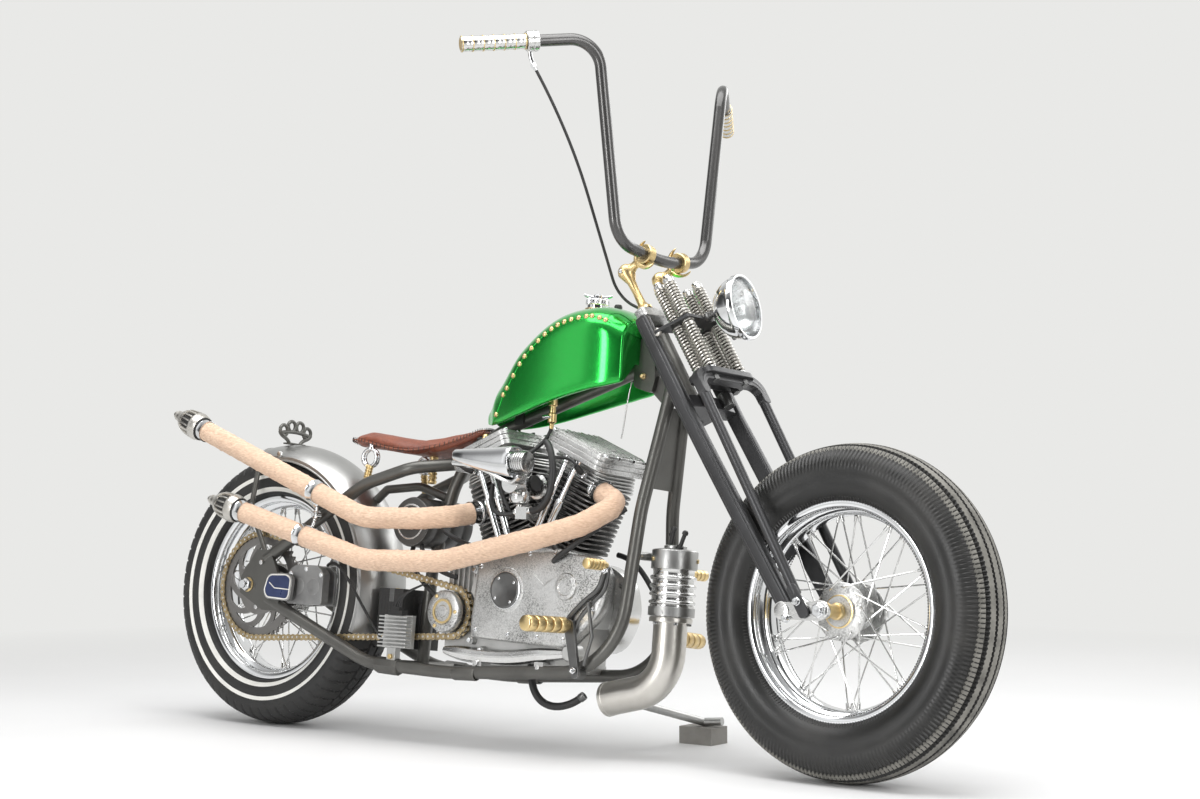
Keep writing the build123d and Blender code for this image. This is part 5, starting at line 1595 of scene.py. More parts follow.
# %% Seat
SEAT_ROWS = ((236, 60, 656, 24), (262, 88, 655, 28), (300, 101, 652, 32), (350, 104, 645, 33),
             (400, 101, 638, 33), (445, 84, 637, 30), (490, 63, 645, 28), (530, 48, 658, 24),
             (560, 37, 671, 20), (582, 27, 684, 15))


def sag(x):
    """How far the saddle's rim droops along its length, most at its middle."""
    return 9 * exp(-((x - 400) / 110) ** 2)


def seat_ring(x, half, base, tall, count=32):
    """One crosswise ring: a flat underside, plump edges and a crown that dips in the middle."""
    row = []
    for n in range(count):
        t = 2 * pi * n / count
        c, s = cos(t), sin(t)
        y = (half - 3) * copysign(abs(c) ** 0.6, c)
        dip = 6 * exp(-(y / (half * 0.42)) ** 2) if half > 70 else 0
        z = base + tall * 0.42 + (tall * 0.5 - dip) * max(s, 0) ** 0.7 + tall * 0.36 * -(max(-s, 0) ** 0.5)
        row.append(Vector((x, y, z - sag(x) * (abs(y) / half) ** 4)))
    return row


def swell(thing, cap):
    """Let cloth pressure round the pad, then keep every point within cap metres of its start."""
    remesh = thing.modifiers.new("even", "REMESH")
    remesh.mode, remesh.voxel_size = "VOXEL", 0.005
    bpy.context.view_layer.update()
    even = bpy.data.meshes.new_from_object(thing.evaluated_get(bpy.context.evaluated_depsgraph_get()))
    thing.modifiers.remove(remesh)
    thing.data = even
    start = [v.co.copy() for v in even.vertices]
    cloth = thing.modifiers.new("swell", "CLOTH")
    cloth.settings.use_pressure = True
    cloth.settings.uniform_pressure_force = 4
    cloth.settings.effector_weights.gravity = 0
    cloth.settings.tension_stiffness = 20
    scene = bpy.context.scene
    for number in range(1, 21):
        scene.frame_set(number)
    swollen = bpy.data.meshes.new_from_object(thing.evaluated_get(bpy.context.evaluated_depsgraph_get()))
    thing.modifiers.remove(cloth)
    scene.frame_set(1)
    for vertex, before in zip(swollen.vertices, start):
        move = vertex.co - before
        if move.length > cap:
            vertex.co = before + move.normalized() * cap
    thing.data = swollen


def seat():
    rings = [seat_ring(230, 42, 655, 16)]
    rings += [seat_ring(*row) for row in SEAT_ROWS]
    rings.append(seat_ring(590, 18, 689, 10))
    points, faces = bridged(rings)
    mesh = bpy.data.meshes.new("padded_saddle")
    mesh.from_pydata([PLACE["frame"] @ p for p in points], [], faces)
    work = bmesh.new()
    work.from_mesh(mesh)
    bmesh.ops.recalc_face_normals(work, faces=work.faces)
    work.to_mesh(mesh)
    work.free()
    pad = bpy.data.objects.new("padded_saddle", mesh)
    bpy.context.collection.objects.link(pad)
    swell(pad, 0.005)
    pad.data.materials.clear()
    pad.data.materials.append(FINISH["seat_leather"])
    pad.data.shade_smooth()
    softer = pad.modifiers.new("soften", "SUBSURF")
    softer.levels = softer.render_levels = 1
    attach(pad, "frame")
    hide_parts("seat")
    return pad


def seat_edge():
    """Points round the saddle's rim, in order, both sides, as (x, y, z)."""
    right = [Vector((x, -half - 0.5, base + tall * 0.38 - sag(x))) for x, half, base, tall in SEAT_ROWS]
    nose = [Vector((593, -14, 693)), Vector((595, 0, 694)), Vector((593, 14, 693))]
    left = [Vector((p.x, -p.y, p.z)) for p in reversed(right)]
    tail = [Vector((228, 34, 661)), Vector((226.5, 0, 661)), Vector((228, -34, 661))]
    return right + nose + left + tail


def seat_trim():
    """Pan, rim piping and stitches that cross it."""
    loop = eased_path(seat_edge(), 8, closed=True)
    pan = [[Vector((410 + (p.x - 410) * 0.95, p.y * 0.8, p.z - drop)) for p in loop] for drop in (0, 3)]
    pan.append([Vector((410 + (p.x - 410) * 0.88, p.y * 0.66, p.z - 4)) for p in loop])
    piping = [swept(loop, 1.8, 10, closed=True)]
    stitches = []
    for p in loop[::2]:
        out = Vector((0, copysign(1, p.y), 0)) if abs(p.y) > 20 else Vector((1 if p.x > 400 else -1, 0, 0))
        stitches += [swept([p + out * 1.2 + Vector((0, 0, 5)), p + out * 2.4,
                            p + out * 1.2 - Vector((0, 0, 4))], 0.8, 6)]
    piece("saddle_pan_and_piping", smooth=60, black_rubber=[bridged(pan)] + stitches, seat_leather=piping)


def seat_springs():
    """Hairpin loops at the back, ribbed brass posts, the nose hinge with its ball and the middle post."""
    loops, brass, dark = [], [], []
    for side in (-1, 1):
        y = side * 92
        ring = []
        for n in range(41):
            t = radians(-80 + 700 * n / 40)
            ring.append(Vector((322 + 19 * cos(t), y + side * (n / 40 - 0.5) * 14, 622 + 19 * sin(t))))
        loops += [swept(ring, 4.2, 12), spun((322, y, 641), (0, 0, 1),
                [(9, 0), (9, 5), (6, 7), (6, 12), (0.1, 12)], 20)]
        post = Vector((322, y, 604)) - Vector((322, y + side * 10, 560))
        ribs = [(7, 0)]
        for number in range(6):
            ribs += [(8.6, 2 + 7 * number), (8.6, 6 + 7 * number), (6.8, 7 + 7 * number),
                     (6.8, 8 + 7 * number)]
        brass += [spun((322, y + side * 10, 560), post, ribs + [(7, 45)], 24)]
    ribs = [(8, 0)]
    for number in range(9):
        ribs += [(10, 3 + 9 * number), (10, 8 + 9 * number), (7.6, 9.5 + 9 * number),
                 (7.6, 11.5 + 9 * number)]
    brass += [spun((432, 0, 572), (0, 0, 1), ribs + [(8, 88)], 24)]
    dark += [block((558, -12, 648), (582, 12, 686))]
    brass += [spun((596, -16, 676), (0, -1, 0), [(0.1, -9), (5, -7.6), (8.4, -4), (9.4, 0), (8.4, 4),
            (5, 7.6), (0.1, 9)], 28)]
    dark += [rod((570, -14, 676), (596, -14, 676), 4)]
    piece("seat_springs_and_posts", "seat_mounts", bevel=0.4, chrome=loops, brass=brass, frame_paint=dark)


seat()
seat_trim()
seat_springs()


# %% Fender trim and knuckle loop
def fender_beads():
    """A rolled wire along both lower edges and round the ends, and the strut's bolts."""
    wire, bolts = [], []
    for side in (-1, 1):
        edge = []
        for n in range(61):
            angle = radians(-13 + 121 * n / 60)
            edge.append(REAR_AXLE + Vector((298.6 * sin(angle), side * 75.4, 298.6 * cos(angle))))
        wire += [swept(edge, 2.4, 10)]
        for n in (8, 36):
            at = edge[n] + (edge[n] - REAR_AXLE).normalized() * 14
            bolts += [spun(at + Vector((0, side * 0.4, 0)), (0, side, 0),
                           [(8, 0), (8, 2), (6.4, 3), (6.4, 6), (0.1, 6.6)])]
    for angle in (radians(-12.6), radians(107.6)):
        out = Vector((sin(angle), 0, cos(angle)))
        crest = []
        for n in range(25):
            t = -1 + 2 * n / 24
            lift = 307.5 + 33.5 * (1 - abs(t) ** 2.6)
            crest.append(REAR_AXLE + out * lift + Vector((0, 75 * t, 0)))
        wire += [swept(crest, 2.2, 10)]
    piece("fender_edge_wire", bevel=0.3, raw_steel=wire, polished=bolts)


def knuckle_loop():
    """Four finger rings fanned out over a wide arch, with a stout leg down each side."""
    x, shapes = -20, []
    for tilt in (-36, -12, 12, 36):
        out = Vector((0, sin(radians(tilt)), cos(radians(tilt))))
        across = Vector((0, out.z, -out.y))
        middle = Vector((x, 0, 640)) + out * 65.5
        loop = []
        for n in range(28):
            t = 2 * pi * n / 28
            loop.append(middle + out * 12.6 * sin(t) + across * (11.4 + 1.6 * sin(t)) * cos(t))
        shapes += [swept(loop, 4.2, 12, closed=True)]
    arch = curve([(x, -48, 686), (x, -20, 694), (x, 20, 694), (x, 48, 686)], 16)
    shapes += [swept(arch, 4.6, 12)]
    for side in (-1, 1):
        leg = [Vector((x, side * y, z)) for y, z in ((50, 690), (46, 676), (28, 680), (17, 663))]
        shapes += [swept(curve(leg, 12), lambda s, _: 5.4 - 1.2 * s, 12)]
    shapes += [block((x - 12, -26, 661.4), (x + 12, 26, 665))]
    piece("knuckle_loop_round", "knuckle_loop", bevel=0.6, frame_paint=shapes)


fender_beads()
knuckle_loop()

# %% [markdown]
# ## Exhausts
# A band of wrap winds round each pipe: every turn overlaps the last, so the radius steps once per turn
# along a helix. Bright band clamps hold the ends and the middle, and each pipe ends in a slotted, flame-cut
# tip.

# %% Wrapped pipes
FRONT_PIPE = (((944, -44, 560), (1030, -82, 528), (985, -146, 478), (880, -172, 444), (640, -178, 389),
               (410, -178, 385), (-8, -178, 490)), (30, 40, 90, 300, 260))
REAR_PIPE = (((640, -66, 506), (618, -132, 490), (550, -164, 481), (380, -164, 480), (-176, -160, 684)),
             (30, 60, 220))
WRAP_RADIUS, ROUTE_STEP = 23.2, 4
CLAMPS = {"front": (0.02, 0.81, 0.985), "rear": (0.02, 0.52, 0.985)}


def wrapped(route, radius, turn_length=34, step=0.9, sides=44):
    """A tube whose radius steps up once per turn of the wrap, with a ragged overlap and small wrinkles."""
    travelled = [0]
    for before, point in zip(route, route[1:]):
        travelled.append(travelled[-1] + (point - before).length)

    def size(share, angle):
        phase = travelled[round(share * (len(route) - 1))] / turn_length + angle / (2 * pi)
        share = phase - floor(phase)
        edge = step * (1 - share) + 0.5 * step * exp(-((share - 0.04) / 0.03) ** 2)
        return radius + edge + 0.28 * sin(7 * angle + phase * 3.1) * sin(phase * 11 + angle)

    return swept(route, size, sides)


def band_clamp(route, share, radius):
    """A band with rolled edges, its screw housing and screw."""
    index = max(1, min(len(route) - 2, int(share * (len(route) - 1))))
    along = (route[index + 1] - route[index - 1]).normalized()
    place = facing(route[index], along)
    band = hoop([(radius, -11), (radius + 1.8, -11), (radius + 1.1, -9.4), (radius + 1.1, 9.4),
                 (radius + 1.8, 11), (radius, 11)], place, 56)
    out = facing(route[index], (0, 0.9, 0.44), along)
    lift = moved(out, 0, 0, radius)
    housing = block((-6.5, -7, -1), (6.5, 7, 5.5), lift)
    screw = turned([(3.4, -11), (3.4, 11), (4.8, 11.4), (4.8, 15), (0.1, 15)],
                   moved(lift, 0, 0, 3) @ Matrix.Rotation(radians(90), 4, "X"), 6)
    return [band, housing, screw]


def exhaust(name, run, node):
    corners, bends = run
    route = route_with_bends(corners, bends, ROUTE_STEP)
    wrap = wrapped(route, WRAP_RADIUS)
    bright = []
    for share in CLAMPS[name]:
        bright += band_clamp(route, share, 24.6)
    collar = facing(route[0], route[1] - route[0])
    bright += [hoop([(27, -2), (27, 8), (25, 10), (20, 10), (20, -2)], collar, 40)]
    piece(name + "_pipe_wrapped", node, smooth=70, pipe_wrap=[wrap], chrome=bright)
    return route


def tip(route):
    """Flared collar, a cage of long slots over a black core that paints the shade inside the tip, a tapering
    nose and a small pointed knob.
    """
    run = (route[-1] - route[-2]).normalized()
    place = facing(route[-1] - run * 7, run)
    cage = [(32.5, 22), (33, 25), (32.5, 34), (31.5, 44), (30, 54), (28.5, 57)]
    outline = [(24.6, 0), (29, 0), (30, 2), (33, 14), (33.6, 18), (33, 21)] + cage
    outline += [(27.5, 60), (24.5, 67), (18, 77), (13, 86), (12.6, 90)]

    def slots(angle, row):
        return -9 if 6 <= row <= 10 and (angle * 16 / (2 * pi)) % 1 < 0.55 else 0

    bright = [turned(outline, place, 128, wave=slots),
              turned([(9, 89), (12.4, 91), (12.4, 95), (8.4, 98), (8.8, 103), (5, 109), (0.1, 110)], place,
                     32)]
    # A black core under the slots: painted shade inside the tip.
    dark = [turned([(r - 4.5, up) for r, up in cage], place, 48),
            hoop([(24.2, -3), (28.4, -3), (28.4, 0.6), (24.2, 0.6)], place, 48)]
    return bright, dark


def tips():
    bright, dark = [], []
    for corners, bends in (FRONT_PIPE, REAR_PIPE):
        route = route_with_bends(corners, bends, ROUTE_STEP)
        a, b = tip(route)
        bright, dark = bright + a, dark + b
    piece("exhaust_tips_fingered", "exhaust_tips", smooth=50, nickel=bright, black_rubber=dark)


exhaust("front", FRONT_PIPE, "front_exhaust")
exhaust("rear", REAR_PIPE, "rear_exhaust")
tips()


# %% [markdown]
# ## Everything bolted to the frame
# Canister and its elbow, the oil tank, battery, regulator, brake caliper, foot controls, stand and hoses.

# %% Canister and elbow
POD = Vector((1124, 0, 302))


def canister():
    """Turned body with four rolled ribs, clamp bands with brass bolts, a cap and small fittings on it."""
    outline = [(40, 0.4), (46, 0.4), (46, 24)]
    for number in range(4):
        low = 25 + 17 * number
        for n in range(7):
            t = pi * n / 6
            outline.append((43.5 + 5.4 * sin(t), low + 10 * (1 - cos(t)) / 2))
        outline.append((43, low + 13))
    outline += [(43.4, 96), (45, 98), (45, 136), (38, 139)]
    place = Matrix.Translation(POD)
    body = [turned(outline, place, 72)]
    dark = [hoop([(46.2, 1), (48.8, 1.6), (48.8, 20), (46.2, 20.6)], place, 64),
            turned([(45.2, 98), (48.6, 98.8), (48.6, 136), (47.4, 138), (44, 139.4), (20, 143), (0.1, 144)],
                   place, 72), turned([(24, 140), (24, 147), (21, 149), (0.1, 149)], place, 40)]
    brass, fittings = [], []
    for turn in (0.4, 2.2, 4.2):
        out = Vector((cos(turn), sin(turn), 0))
        brass += [spun(POD + out * 48.4 + Vector((0, 0, 118)), out, [(4.6, 0), (4.6, 3), (0.1, 3.4)])]
    for x, y, tall, lean in ((22, -18, 34, 0.45), (-4, -14, 40, 0.25), (-18, 8, 30, 0.1)):
        foot = facing(POD + Vector((x, y, 139)), (lean, -0.1, 1))
        fittings += [turned([(8, 0), (8, 8), (4.4, 10), (4.4, tall), (6.4, tall + 1), (6.4, tall + 6),
                             (4, tall + 9), (0.1, tall + 9)], foot, 14)]
    clamp = rod((1074, -62, 424), (1074, 62, 424), 8.8, 24)
    for side in (-1, 1):
        brass += [spun((1074, side * 62, 424), (0, side, 0), ACORN)]
    dark += [swept([(1086, 0, 424), (1076, 0, 424)], 10, 16)]
    piece("ribbed_canister", "front_canister", bevel=0.4, smooth=40, polished=body, raw_steel=dark + [clamp],
          brass=brass)
    piece("canister_fittings", smooth=40, black_rubber=fittings)


def elbow():
    """Satin elbow with a bolted flange and a slanted mouth."""
    route = route_with_bends(((1124, 0, 301.4), (1124, 0, 158), (972, 0, 122)), (92,), 8)
    body = [swept(route, 35.7, 56)]
    flange = hoop([(36, -12), (45, -11), (45.4, -3), (44, -0.6), (36, -0.6)], Matrix.Translation(POD), 56)
    bolts = []
    for turn in (0.6, 1.9, 3.1, 4.4, 5.6):
        at = POD + Vector((40 * cos(turn), 40 * sin(turn), -12))
        bolts += [spun(at, (0, 0, -1), [(4.6, 0), (4.6, 4.6), (0.1, 5)])]
    along = (route[-1] - route[-2]).normalized()
    mouth = hoop([(34, -10), (36.6, -9), (36.6, -1), (33.5, -0.4), (33.5, -10)], facing(route[-1], along), 56)
    piece("collector_elbow_satin", "collector_elbow", bevel=0.4, smooth=45, nickel=body + [flange, mouth],
          chrome=bolts)


canister()
elbow()


# %% Oil tank, battery, regulator
def oil_tank():
    """Drum with rolled ribs, end caps, filler and a feed line."""
    outline = [(10, -78), (48, -78), (54, -75), (56, -70)]
    for y in (-44, 0, 44):
        outline += [(56, y - 5), (54.4, y - 2.5), (54.4, y + 2.5), (56, y + 5)]
    outline += [(56, 70), (54, 75), (48, 78), (10, 78)]
    drum = [turned([(max(r, 0.1), y) for r, y in outline], on_axle(Vector((446, 0, 480))), 72)]
    face = right_face(446, 480, -77.6)
    rings = [hoop([(40, 0), (40, 1), (37, 1.4), (37, 0)], face, 56),
             turned([(14, 0), (14, 5), (12, 7), (0.1, 7)], face, 6)]
    lines = [[(446, -60, 426), (450, -84, 380), (520, -92, 330), (580, -82, 300)],
             [(470, -60, 430), (500, -90, 400), (540, -96, 372), (600, -80, 360)]]
    hoses = [swept(curve(line, 24), 5.4, 12) for line in lines]
    piece("oil_drum", "oil_tank", bevel=0.6, fin_black=drum, polished=rings, black_rubber=hoses)


def battery():
    """Moulded case with ribs, a strap and two terminals."""
    case = [block((358.5, -65.5, 196.5), (430.5, 65.5, 318)), block((357.9, -66, 318), (431, 66, 329.6)),
            block((425, -11, 225), (439.6, 11, 300))]
    for number in range(8):
        y = -58 + 15 * number
        case += [block((357.9, y, 204), (431, y + 4, 312))]
    case += [block((366 + 9 * n, -66, 204), (369 + 9 * n, -65, 312)) for n in range(7)]
    strap = [block((390, -66.2, 300), (404, 66.2, 329.8))]
    posts = [turned([(7, 0), (7, 7), (5, 9), (0.1, 9)], Matrix.Translation((394, y, 322)), 16)
             for y in (-44, 44)]
    piece("ribbed_battery", "battery_box", bevel=1.2, black_rubber=case, dark_alloy=strap, brass=posts)


def regulator():
    """Deep-finned alloy body with a potted connector, on its foot."""
    fins = [block((427, -116, 197.5), (510, -104.2, 270)), block((448.5, -123.6, 169), (473.5, -106.4, 198))]
    for number in range(9):
        z = 198.4 + 8.2 * number
        fins += [block((427, -133.6, z), (510, -115, z + 3.4))]
    plug = [block((446, -126, 269), (486, -106, 280)), block((452, -122, 279), (474, -110, 288))]
    leads = [[(463 + d, -116, 280), (463 + d, -118, 320), (500, -104, 330), (540, -88, 352)]
             for d in (-6, 0, 6)]
    plug += [swept(curve(line, 20), 2.2, 8) for line in leads]
    bolts = [turned(HEX_BOLT, right_face(461, 178, -123.2), 6)]
    piece("finned_regulator", "regulator", bevel=0.5, cast_alloy=fins, black_rubber=plug, brass=bolts)


oil_tank()
battery()
regulator()


# %% Rear brake, axle and plates
def caliper():
    """Four-pot body in two bolted halves with a plain two-tone panel, bleed screw, banjo and hose."""
    low, high = REAR_AXLE.z - 39.1, REAR_AXLE.z + 52.9
    place = right_face(175, (low + high) / 2, -98.6)
    half = smooth_outline([(-56, -45), (56, -45), (56, 30), (34, 45), (-34, 45), (-56, 30)], 10)
    body = [plate(half, place, 21.6), plate(half, facing((175, -81, (low + high) / 2), (0, 1, 0), (-1, 0, 0)),
            7.4), block((162, -100, high - 13), (188, -74, high - 1))]
    shield = smooth_outline([(-46, -14), (-36, -31), (42, -35), (46, 20), (30, 29), (-34, 27)], 15)
    cover = right_face(108, REAR_AXLE.z + 1, -131.6)
    body += [plate(shield, cover, 9.6)]
    pots = [turned([(19, 20), (19, 21.6), (17, 22.1), (0.1, 22.1)], moved(place, x, -4, 0), 40)
            for x in (-22, 26)]
    panel = [plate([(x * 0.86, y * 0.84) for x, y in shield], moved(cover, 0, 0, 9), 1.6)]
    ring = [cover @ Vector((x * 0.9, y * 0.88, 10.2)) for x, y in shield]
    border = [swept(ring, 1.7, 8, closed=True), swept([cover @ Vector((-26, 6, 10.8)),
            cover @ Vector((-8, -6, 10.8)), cover @ Vector((40, -8, 10.8))], 1.4, 8)]
    bolts = bolts_on(moved(place, 0, 0, 17), ((-48, 24), (48, 24), (0, 36)), HEX_BOLT)
    line = [(214, -92, 372), (250, -92, 410), (320, -104, 300), (420, -96, 200)]
    hose = [swept(curve(line, 28), 3.4, 10)]
    piece("brake_caliper", "rear_caliper", bevel=1.4, caliper_grey=body + pots, panel_blue=panel,
          white_wall=border, chrome=bolts, black_rubber=hose)


def rear_axle():
    """Axle, collars, castellated nuts with split pins, and a brass adjuster washer."""
    x, z = REAR_AXLE.x, REAR_AXLE.z
    bright = [rod((x, -151, z), (x, 151, z), 9.4, 28),
              spun((x, 46.4, z), (0, 1, 0), [(9.4, 0), (17, 0), (17, 74), (9.4, 74)], 36),
              spun((x, -94.2, z), (0, -1, 0), [(9.4, 0), (17, 0), (17, 26), (9.4, 26)], 36)]
    brass = []
    for side in (-1, 1):
        out = facing((x, side * 130.4, z), (0, side, 0))
        brass += [turned([(16.8, 0), (16.8, 2.2), (9.4, 2.2)], out, 36)]
        bright += [turned([(15.6, 2.2), (15.6, 10), (14, 12), (13, 13.5), (9.4, 13.5)], out, 6),
                   rod((x - 12, side * 142, z), (x + 12, side * 142, z), 1.4, 8)]
    piece("rear_axle_and_nuts", "rear_axle", bevel=0.5, chrome=bright, brass=brass)


caliper()
rear_axle()


# %% Foot controls, stand and hoses
def ribbed_peg(start, end, radius=17, bands=5):
    """Brass peg: wide bands parted by thin grooves, and a rounded cap at its end."""
    run = Vector(end) - Vector(start)
    length = run.length
    outline = [(radius * 0.6, 0), (radius * 0.6, 8), (radius * 0.8, 10)]
    span = (length - 12) / bands
    for number in range(bands):
        low = 11 + span * number
        outline += [(radius - 1.2, low), (radius, low + 1.6), (radius, low + span * 0.8),
                    (radius - 1.2, low + span * 0.88), (radius * 0.76, low + span * 0.9),
                    (radius * 0.76, low + span * 0.99)]
    outline[-1] = (radius - 1, length - 1)
    outline += [(radius - 3, length), (0.1, length)]
    return spun(start, run, outline, 40)


def lever(corners, y, thickness, side):
    """A cut plate on one side with rounded ends, from (x, z) corners."""
    if side < 0:
        return plate(smooth_outline(corners, 14, 5), right_face(0, 0, y), thickness)
    outline = [(-x, z) for x, z in smooth_outline(corners, 14, 5)][::-1]
    return plate(outline, facing((0, y, 0), (0, 1, 0), (-1, 0, 0)), thickness)


def controls():
    brass = [ribbed_peg((962, -138, 269.9), (948, -262, 268)),
             ribbed_peg((1045, -129, 397), (1045, -198, 397), 11.5)]
    dark = [lever(((948, 282), (974, 284), (1000, 166), (982, 160)), -130.2, 8, -1)]
    for y, shift in ((-131, 0), (-122, 22)):
        bend = [(946 + shift, 262), (962 + shift, 290), (996 + shift * 0.8, 322), (1030 + shift * 0.4, 350),
                (1045, 394)]
        dark += [swept([Vector((x, y, z)) for x, z in eased_path(bend)], 5.2, 12)]
    dark += [rod((988, -134, 172), (988, -110, 172), 11, 28)]
    bright = [spun(Vector((x, -140.6, z)), (0, -1, 0), ACORN) for x, z in ((988, 178), (1052, 386))]
    dark += [swept([(1010, -136, 320), (1020, -128, 250), (1000, -124, 190)], 4, 10)]
    piece("right_foot_controls", "right_controls", bevel=0.8, brass=brass, dark_alloy=dark, chrome=bright)
    brass = [ribbed_peg((1032, 128, 261.4), (1018, 262, 258)),
             ribbed_peg((1046, 140, 400), (1046, 226, 400), 12)]
    dark = [lever(((1010, 246), (1040, 240), (1060, 400), (1036, 400)), 130.2, 9.6, 1),
            rod((1033, 100, 262), (1032, 131, 262), 13, 28)]
    bright = [spun(Vector((x, 139.6, z)), (0, 1, 0), ACORN) for x, z in ((1030, 300), (1046, 360))]
    piece("left_foot_controls", "left_controls", bevel=0.8, brass=brass, dark_alloy=dark, chrome=bright)


SLEEVES = (((700, -109, 155), (640, -109.6, 153.4), 0), ((480, -112.4, 155.6), (418, -113.4, 158.4), 3.4))


def frame_joints():
    """Splice sleeves on the lower rails with their welds, frame bolts, and engine mounting bolts."""
    sleeves, bolts = [], []
    for side in (-1, 1):
        for a, b, girth in SLEEVES:
            start, run = Vector((a[0], side * -a[1], a[2])), Vector((b[0] - a[0], side * -(b[1] - a[1]),
                    b[2] - a[2]))
            full = 15.4 + girth
            outline = [(14.1, -2), (full - 0.4, 0), (full, 2), (full, run.length - 2),
                       (full - 0.4, run.length), (14.1, run.length + 2)]
            sleeves += [hoop(outline, facing(start, run), 8 if girth else 32)]
        for x in (700, 870):
            bolts += [spun((x, side * 110, 178), (0, side, 0), HEX_BOLT)]
        for x, z in ((40, 372), (86, 296)):
            bolts += [spun((x, side * 129.8, z), (0, side, 0), HEX_BOLT)]
    piece("frame_sleeves_and_bolts", bevel=0.5, frame_paint=sleeves, polished=bolts)


def engine_hoses():
    """Breather and oil hoses, and the thin wire from the tank's front down to the front rocker box."""
    rubber, bright = [], []
    lines = [([(900, -120, 402), (940, -150, 420), (1000, -120, 470), (1040, -70, 520)], 6.5),
             ([(740, -84, 412), (700, -110, 430), (640, -104, 420), (560, -88, 460)], 5.5),
             ([(860, -96, 470), (890, -110, 440), (900, -116, 420), (905, -112, 408)], 7.5),
             ([(930, 60, 430), (990, 60, 420), (1030, 30, 380), (1080, 20, 330)], 6),
             ([(880, -150, 650), (925, -166, 620), (925, -160, 500), (850, -150, 505)], 7.5),
             ([(742, -150, 560), (744, -166, 500), (770, -164, 486), (812, -150, 500)], 5),
             ([(760, -150, 566), (776, -160, 540), (788, -156, 510), (800, -140, 490)], 4)]
    for corners, radius in lines:
        rubber += [swept(curve([Vector(c) for c in corners], 24), radius, 12)]
    wire = [(1010, -40, 790), (1006, -50, 740), (1000, -40, 700), (985, -30, 672)]
    bright += [swept(curve(wire, 20), 1.5, 8)]
    for at in ((848, -150, 505), (814, -150, 501)):
        bright += [spun(at, (-1 if at[0] > 830 else 1, 0.3, -0.4),
                        [(8.4, -6), (9.6, -4), (9.6, 4), (8.4, 6), (6, 8), (6, 13), (0.1, 14)])]
    bright += [block((816, -158, 486), (846, -120, 512))]
    piece("engine_hoses", smooth=60, black_rubber=rubber, polished=bright)


def lower_hose():
    """Black hose that sags under the rail, with a crimped ferrule at each end."""
    line = [(803, -50, 185), (800, -50, 82), (900, -56, 84), (947, -45, 128)]
    route = curve(line, 32)
    rubber = [swept(route, 8.2, 16)]
    ends = [turned([(9, 0), (9.4, 1), (9.4, 12), (8.4, 13)], facing(a, b - a), 20) for a,
            b in ((route[0], route[1]), (route[-1], route[-2]))]
    piece("lower_hose_sagging", "lower_hose", smooth=60, black_rubber=rubber, dark_alloy=ends)


def exhaust_hanger():
    """Polished plates and bolts that tie both pipes' clamps to the right strut."""
    low = route_with_bends(*FRONT_PIPE, ROUTE_STEP)
    high = route_with_bends(*REAR_PIPE, ROUTE_STEP)
    a, b = (line[int(CLAMPS[name][1] * (len(line) - 1))] for line, name in ((low, "front"), (high, "rear")))
    a, b = a + Vector((4, 22, 14)), b + Vector((-6, 12, -24))
    middle = (a + b) / 2
    bright = [swept([a, middle + Vector((0, 6, 4)), b], 5, 12)]
    for at in (a, middle + Vector((0, 6, 4)), b):
        bright += [spun(at, (0, -1, 0), [(9, -7), (10, -6), (10, 6), (9, 7), (5, 9), (5, 13), (0.1, 13)], 24)]
    piece("exhaust_hanger", bevel=0.5, polished=bright)


controls()
frame_joints()
engine_hoses()
lower_hose()
exhaust_hanger()

# %% [markdown]
# ## Studio
# A pale floor, one big soft light overhead, a tall soft light that draws the streak on the tank, and a weak
# fill. What the camera sees behind the machine is one pale tone; what polished metal sees has darker zones,
# which give chrome its contrast.

# %% Floor, world and lights
GLOW_TURN, GLOW_WIDTH = 130, 13
BACKDROP = (0.815, 0.815, 0.8, 1)


def sky():
    """Pale for the camera, a soft gradient for light, and banded for reflections."""
    world = bpy.context.scene.world = bpy.data.worlds.new("studio")
    world.use_nodes = True
    tree = Tree(world.node_tree)
    path = tree.add("LightPath").outputs
    parts = tree.add("SeparateXYZ", {0: tree.add("TexCoord").outputs["Generated"]}).outputs
    ramp = tree.add("ValToRGB", {0: tree.ramp(parts["Z"], -1, 1)})
    stops = ((0, 0.5), (0.46, 0.5), (0.5, 0.3), (0.56, 0.07), (0.7, 0.05), (0.82, 0.32), (1, 0.7))
    points = ramp.color_ramp.elements
    while len(points) < len(stops):
        points.new(0.5)
    for point, (position, value) in zip(points, stops):
        point.position, point.color = position, grey(value)
    turn = tree.math("ARCTAN2", parts["Y"], parts["X"])
    off = tree.math("DIVIDE", tree.plus(turn, radians(GLOW_TURN)), radians(GLOW_WIDTH))
    glow = tree.math("POWER", exp(1), tree.times(tree.times(off, off), -1))
    glow = tree.times(glow, tree.ramp(parts["Z"], -0.1, 0.1))
    shine = tree.mix(tree.times(glow, 0.8), ramp.outputs[0], grey(1.3))
    shine = tree.mix(tree.ramp(parts["Y"], -0.15, 0.45), shine, BACKDROP)
    seen = tree.mix(path["Is Glossy Ray"], grey(0.4), shine)
    plain = tree.math("MAXIMUM", path["Is Camera Ray"], path["Is Transmission Ray"])
    tree.join(tree.mix(plain, seen, BACKDROP), world.node_tree.nodes["Background"].inputs["Color"])


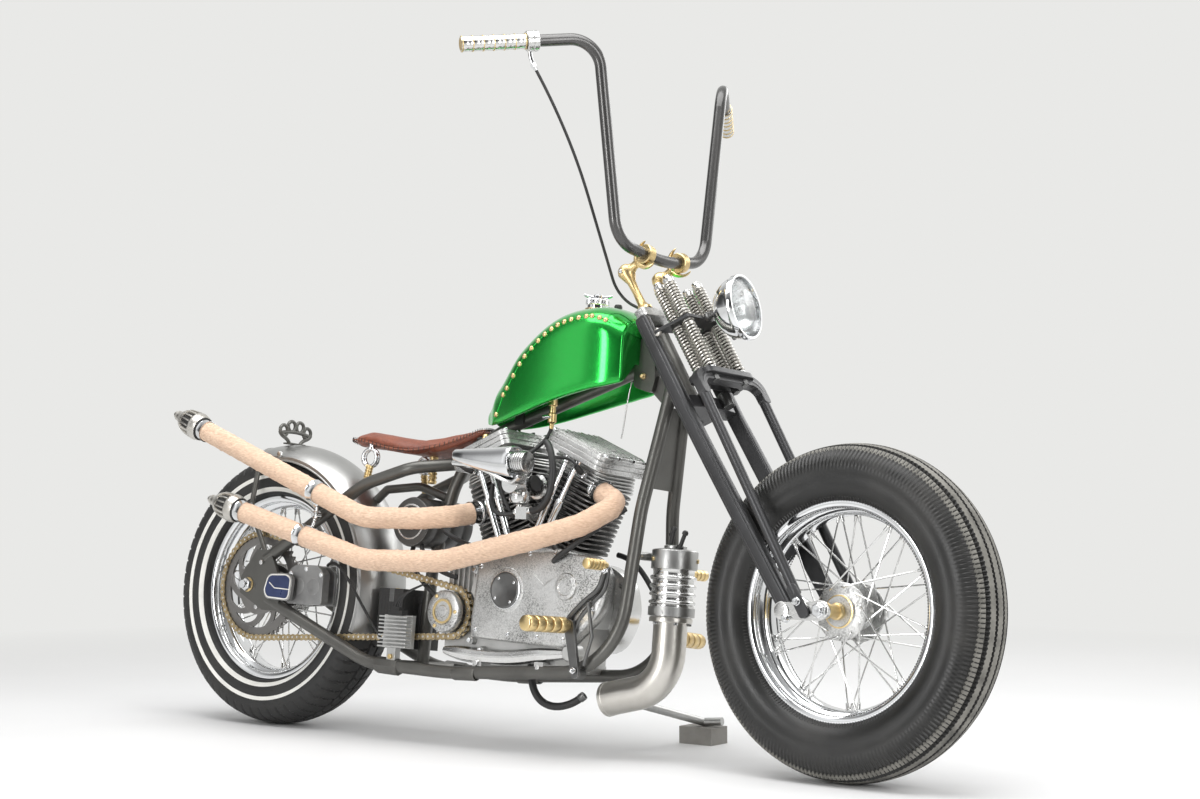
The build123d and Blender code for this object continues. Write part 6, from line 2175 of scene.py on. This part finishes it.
def pale_floor(size=60):
    """One large plane; it fades into the backdrop's tone away from the machine."""
    mesh = bpy.data.meshes.new("floor")
    mesh.from_pydata([(-size, -size, 0), (size, -size, 0), (size, size, 0), (-size, size, 0)], [],
                     [(0, 1, 2, 3)])
    plane = bpy.data.objects.new("floor", mesh)
    bpy.context.collection.objects.link(plane)
    tree = new_finish("floor", {"Roughness": 0.6, "Specular IOR Level": 0.25})
    inner = tree.tree.nodes
    place = tree.here()
    tree.join(tree.mix(tree.noise(3, 3, place), grey(0.76), grey(0.8)),
              inner["Principled BSDF"].inputs["Base Color"])
    away = tree.ramp(tree.add("VectorMath", {0: place}, operation="LENGTH").outputs["Value"], 1.3, 3.6)
    glow = tree.add("Emission", {"Color": BACKDROP, "Strength": 1})
    blend = tree.add("MixShader", {0: away, 1: inner["Principled BSDF"].outputs[0], 2: glow.outputs[0]})
    tree.join(blend.outputs[0], inner["Material Output"].inputs["Surface"])
    mesh.materials.append(FINISH["floor"])


def soft_light(name, place, aim, width, height, power, colour=(1, 1, 1)):
    lamp = bpy.data.lights.new(name, "AREA")
    lamp.shape, lamp.size, lamp.size_y = "RECTANGLE", width, height
    lamp.energy, lamp.color = power, colour
    thing = bpy.data.objects.new(name, lamp)
    thing.location = place
    thing.rotation_euler = (Vector(aim) - Vector(place)).to_track_quat("-Z", "Y").to_euler()
    bpy.context.collection.objects.link(thing)


sky()
pale_floor()
soft_light("overhead", (0.2, -0.6, 3.4), (0, 0, 0.4), 4.2, 2.4, 125)
soft_light("white_band", (-0.35, -4.4, 1.3), (0.3, 0, 0.7), 0.9, 3.2, 84)
soft_light("front_fill", (3.6, -1, 1.6), (0.4, 0, 0.6), 1.2, 2.2, 48)
soft_light("behind", (0.6, 3.2, 2.2), (0, 0, 0.6), 3, 1.4, 34)

# %% [markdown]
# The camera stands low on the right and ahead, with a long lens, so both wheels keep nearly their true
# shape.

# %% Camera
LENS_MM, SENSOR_MM = 67.371, 36
CAMERA_AT = (3.066413, -3.911407, 0.655605)
CAMERA_YAW, CAMERA_PITCH = radians(37.5857), radians(1.1864)
camera_data = bpy.data.cameras.new("camera")
camera_data.lens, camera_data.sensor_width = LENS_MM, SENSOR_MM
camera_data.clip_end = 200
camera = bpy.data.objects.new("camera", camera_data)
camera.location = CAMERA_AT
camera.rotation_euler = (pi / 2 + CAMERA_PITCH, 0, CAMERA_YAW)
bpy.context.collection.objects.link(camera)
bpy.context.scene.camera = camera
bpy.context.scene.view_settings.view_transform = "Standard"
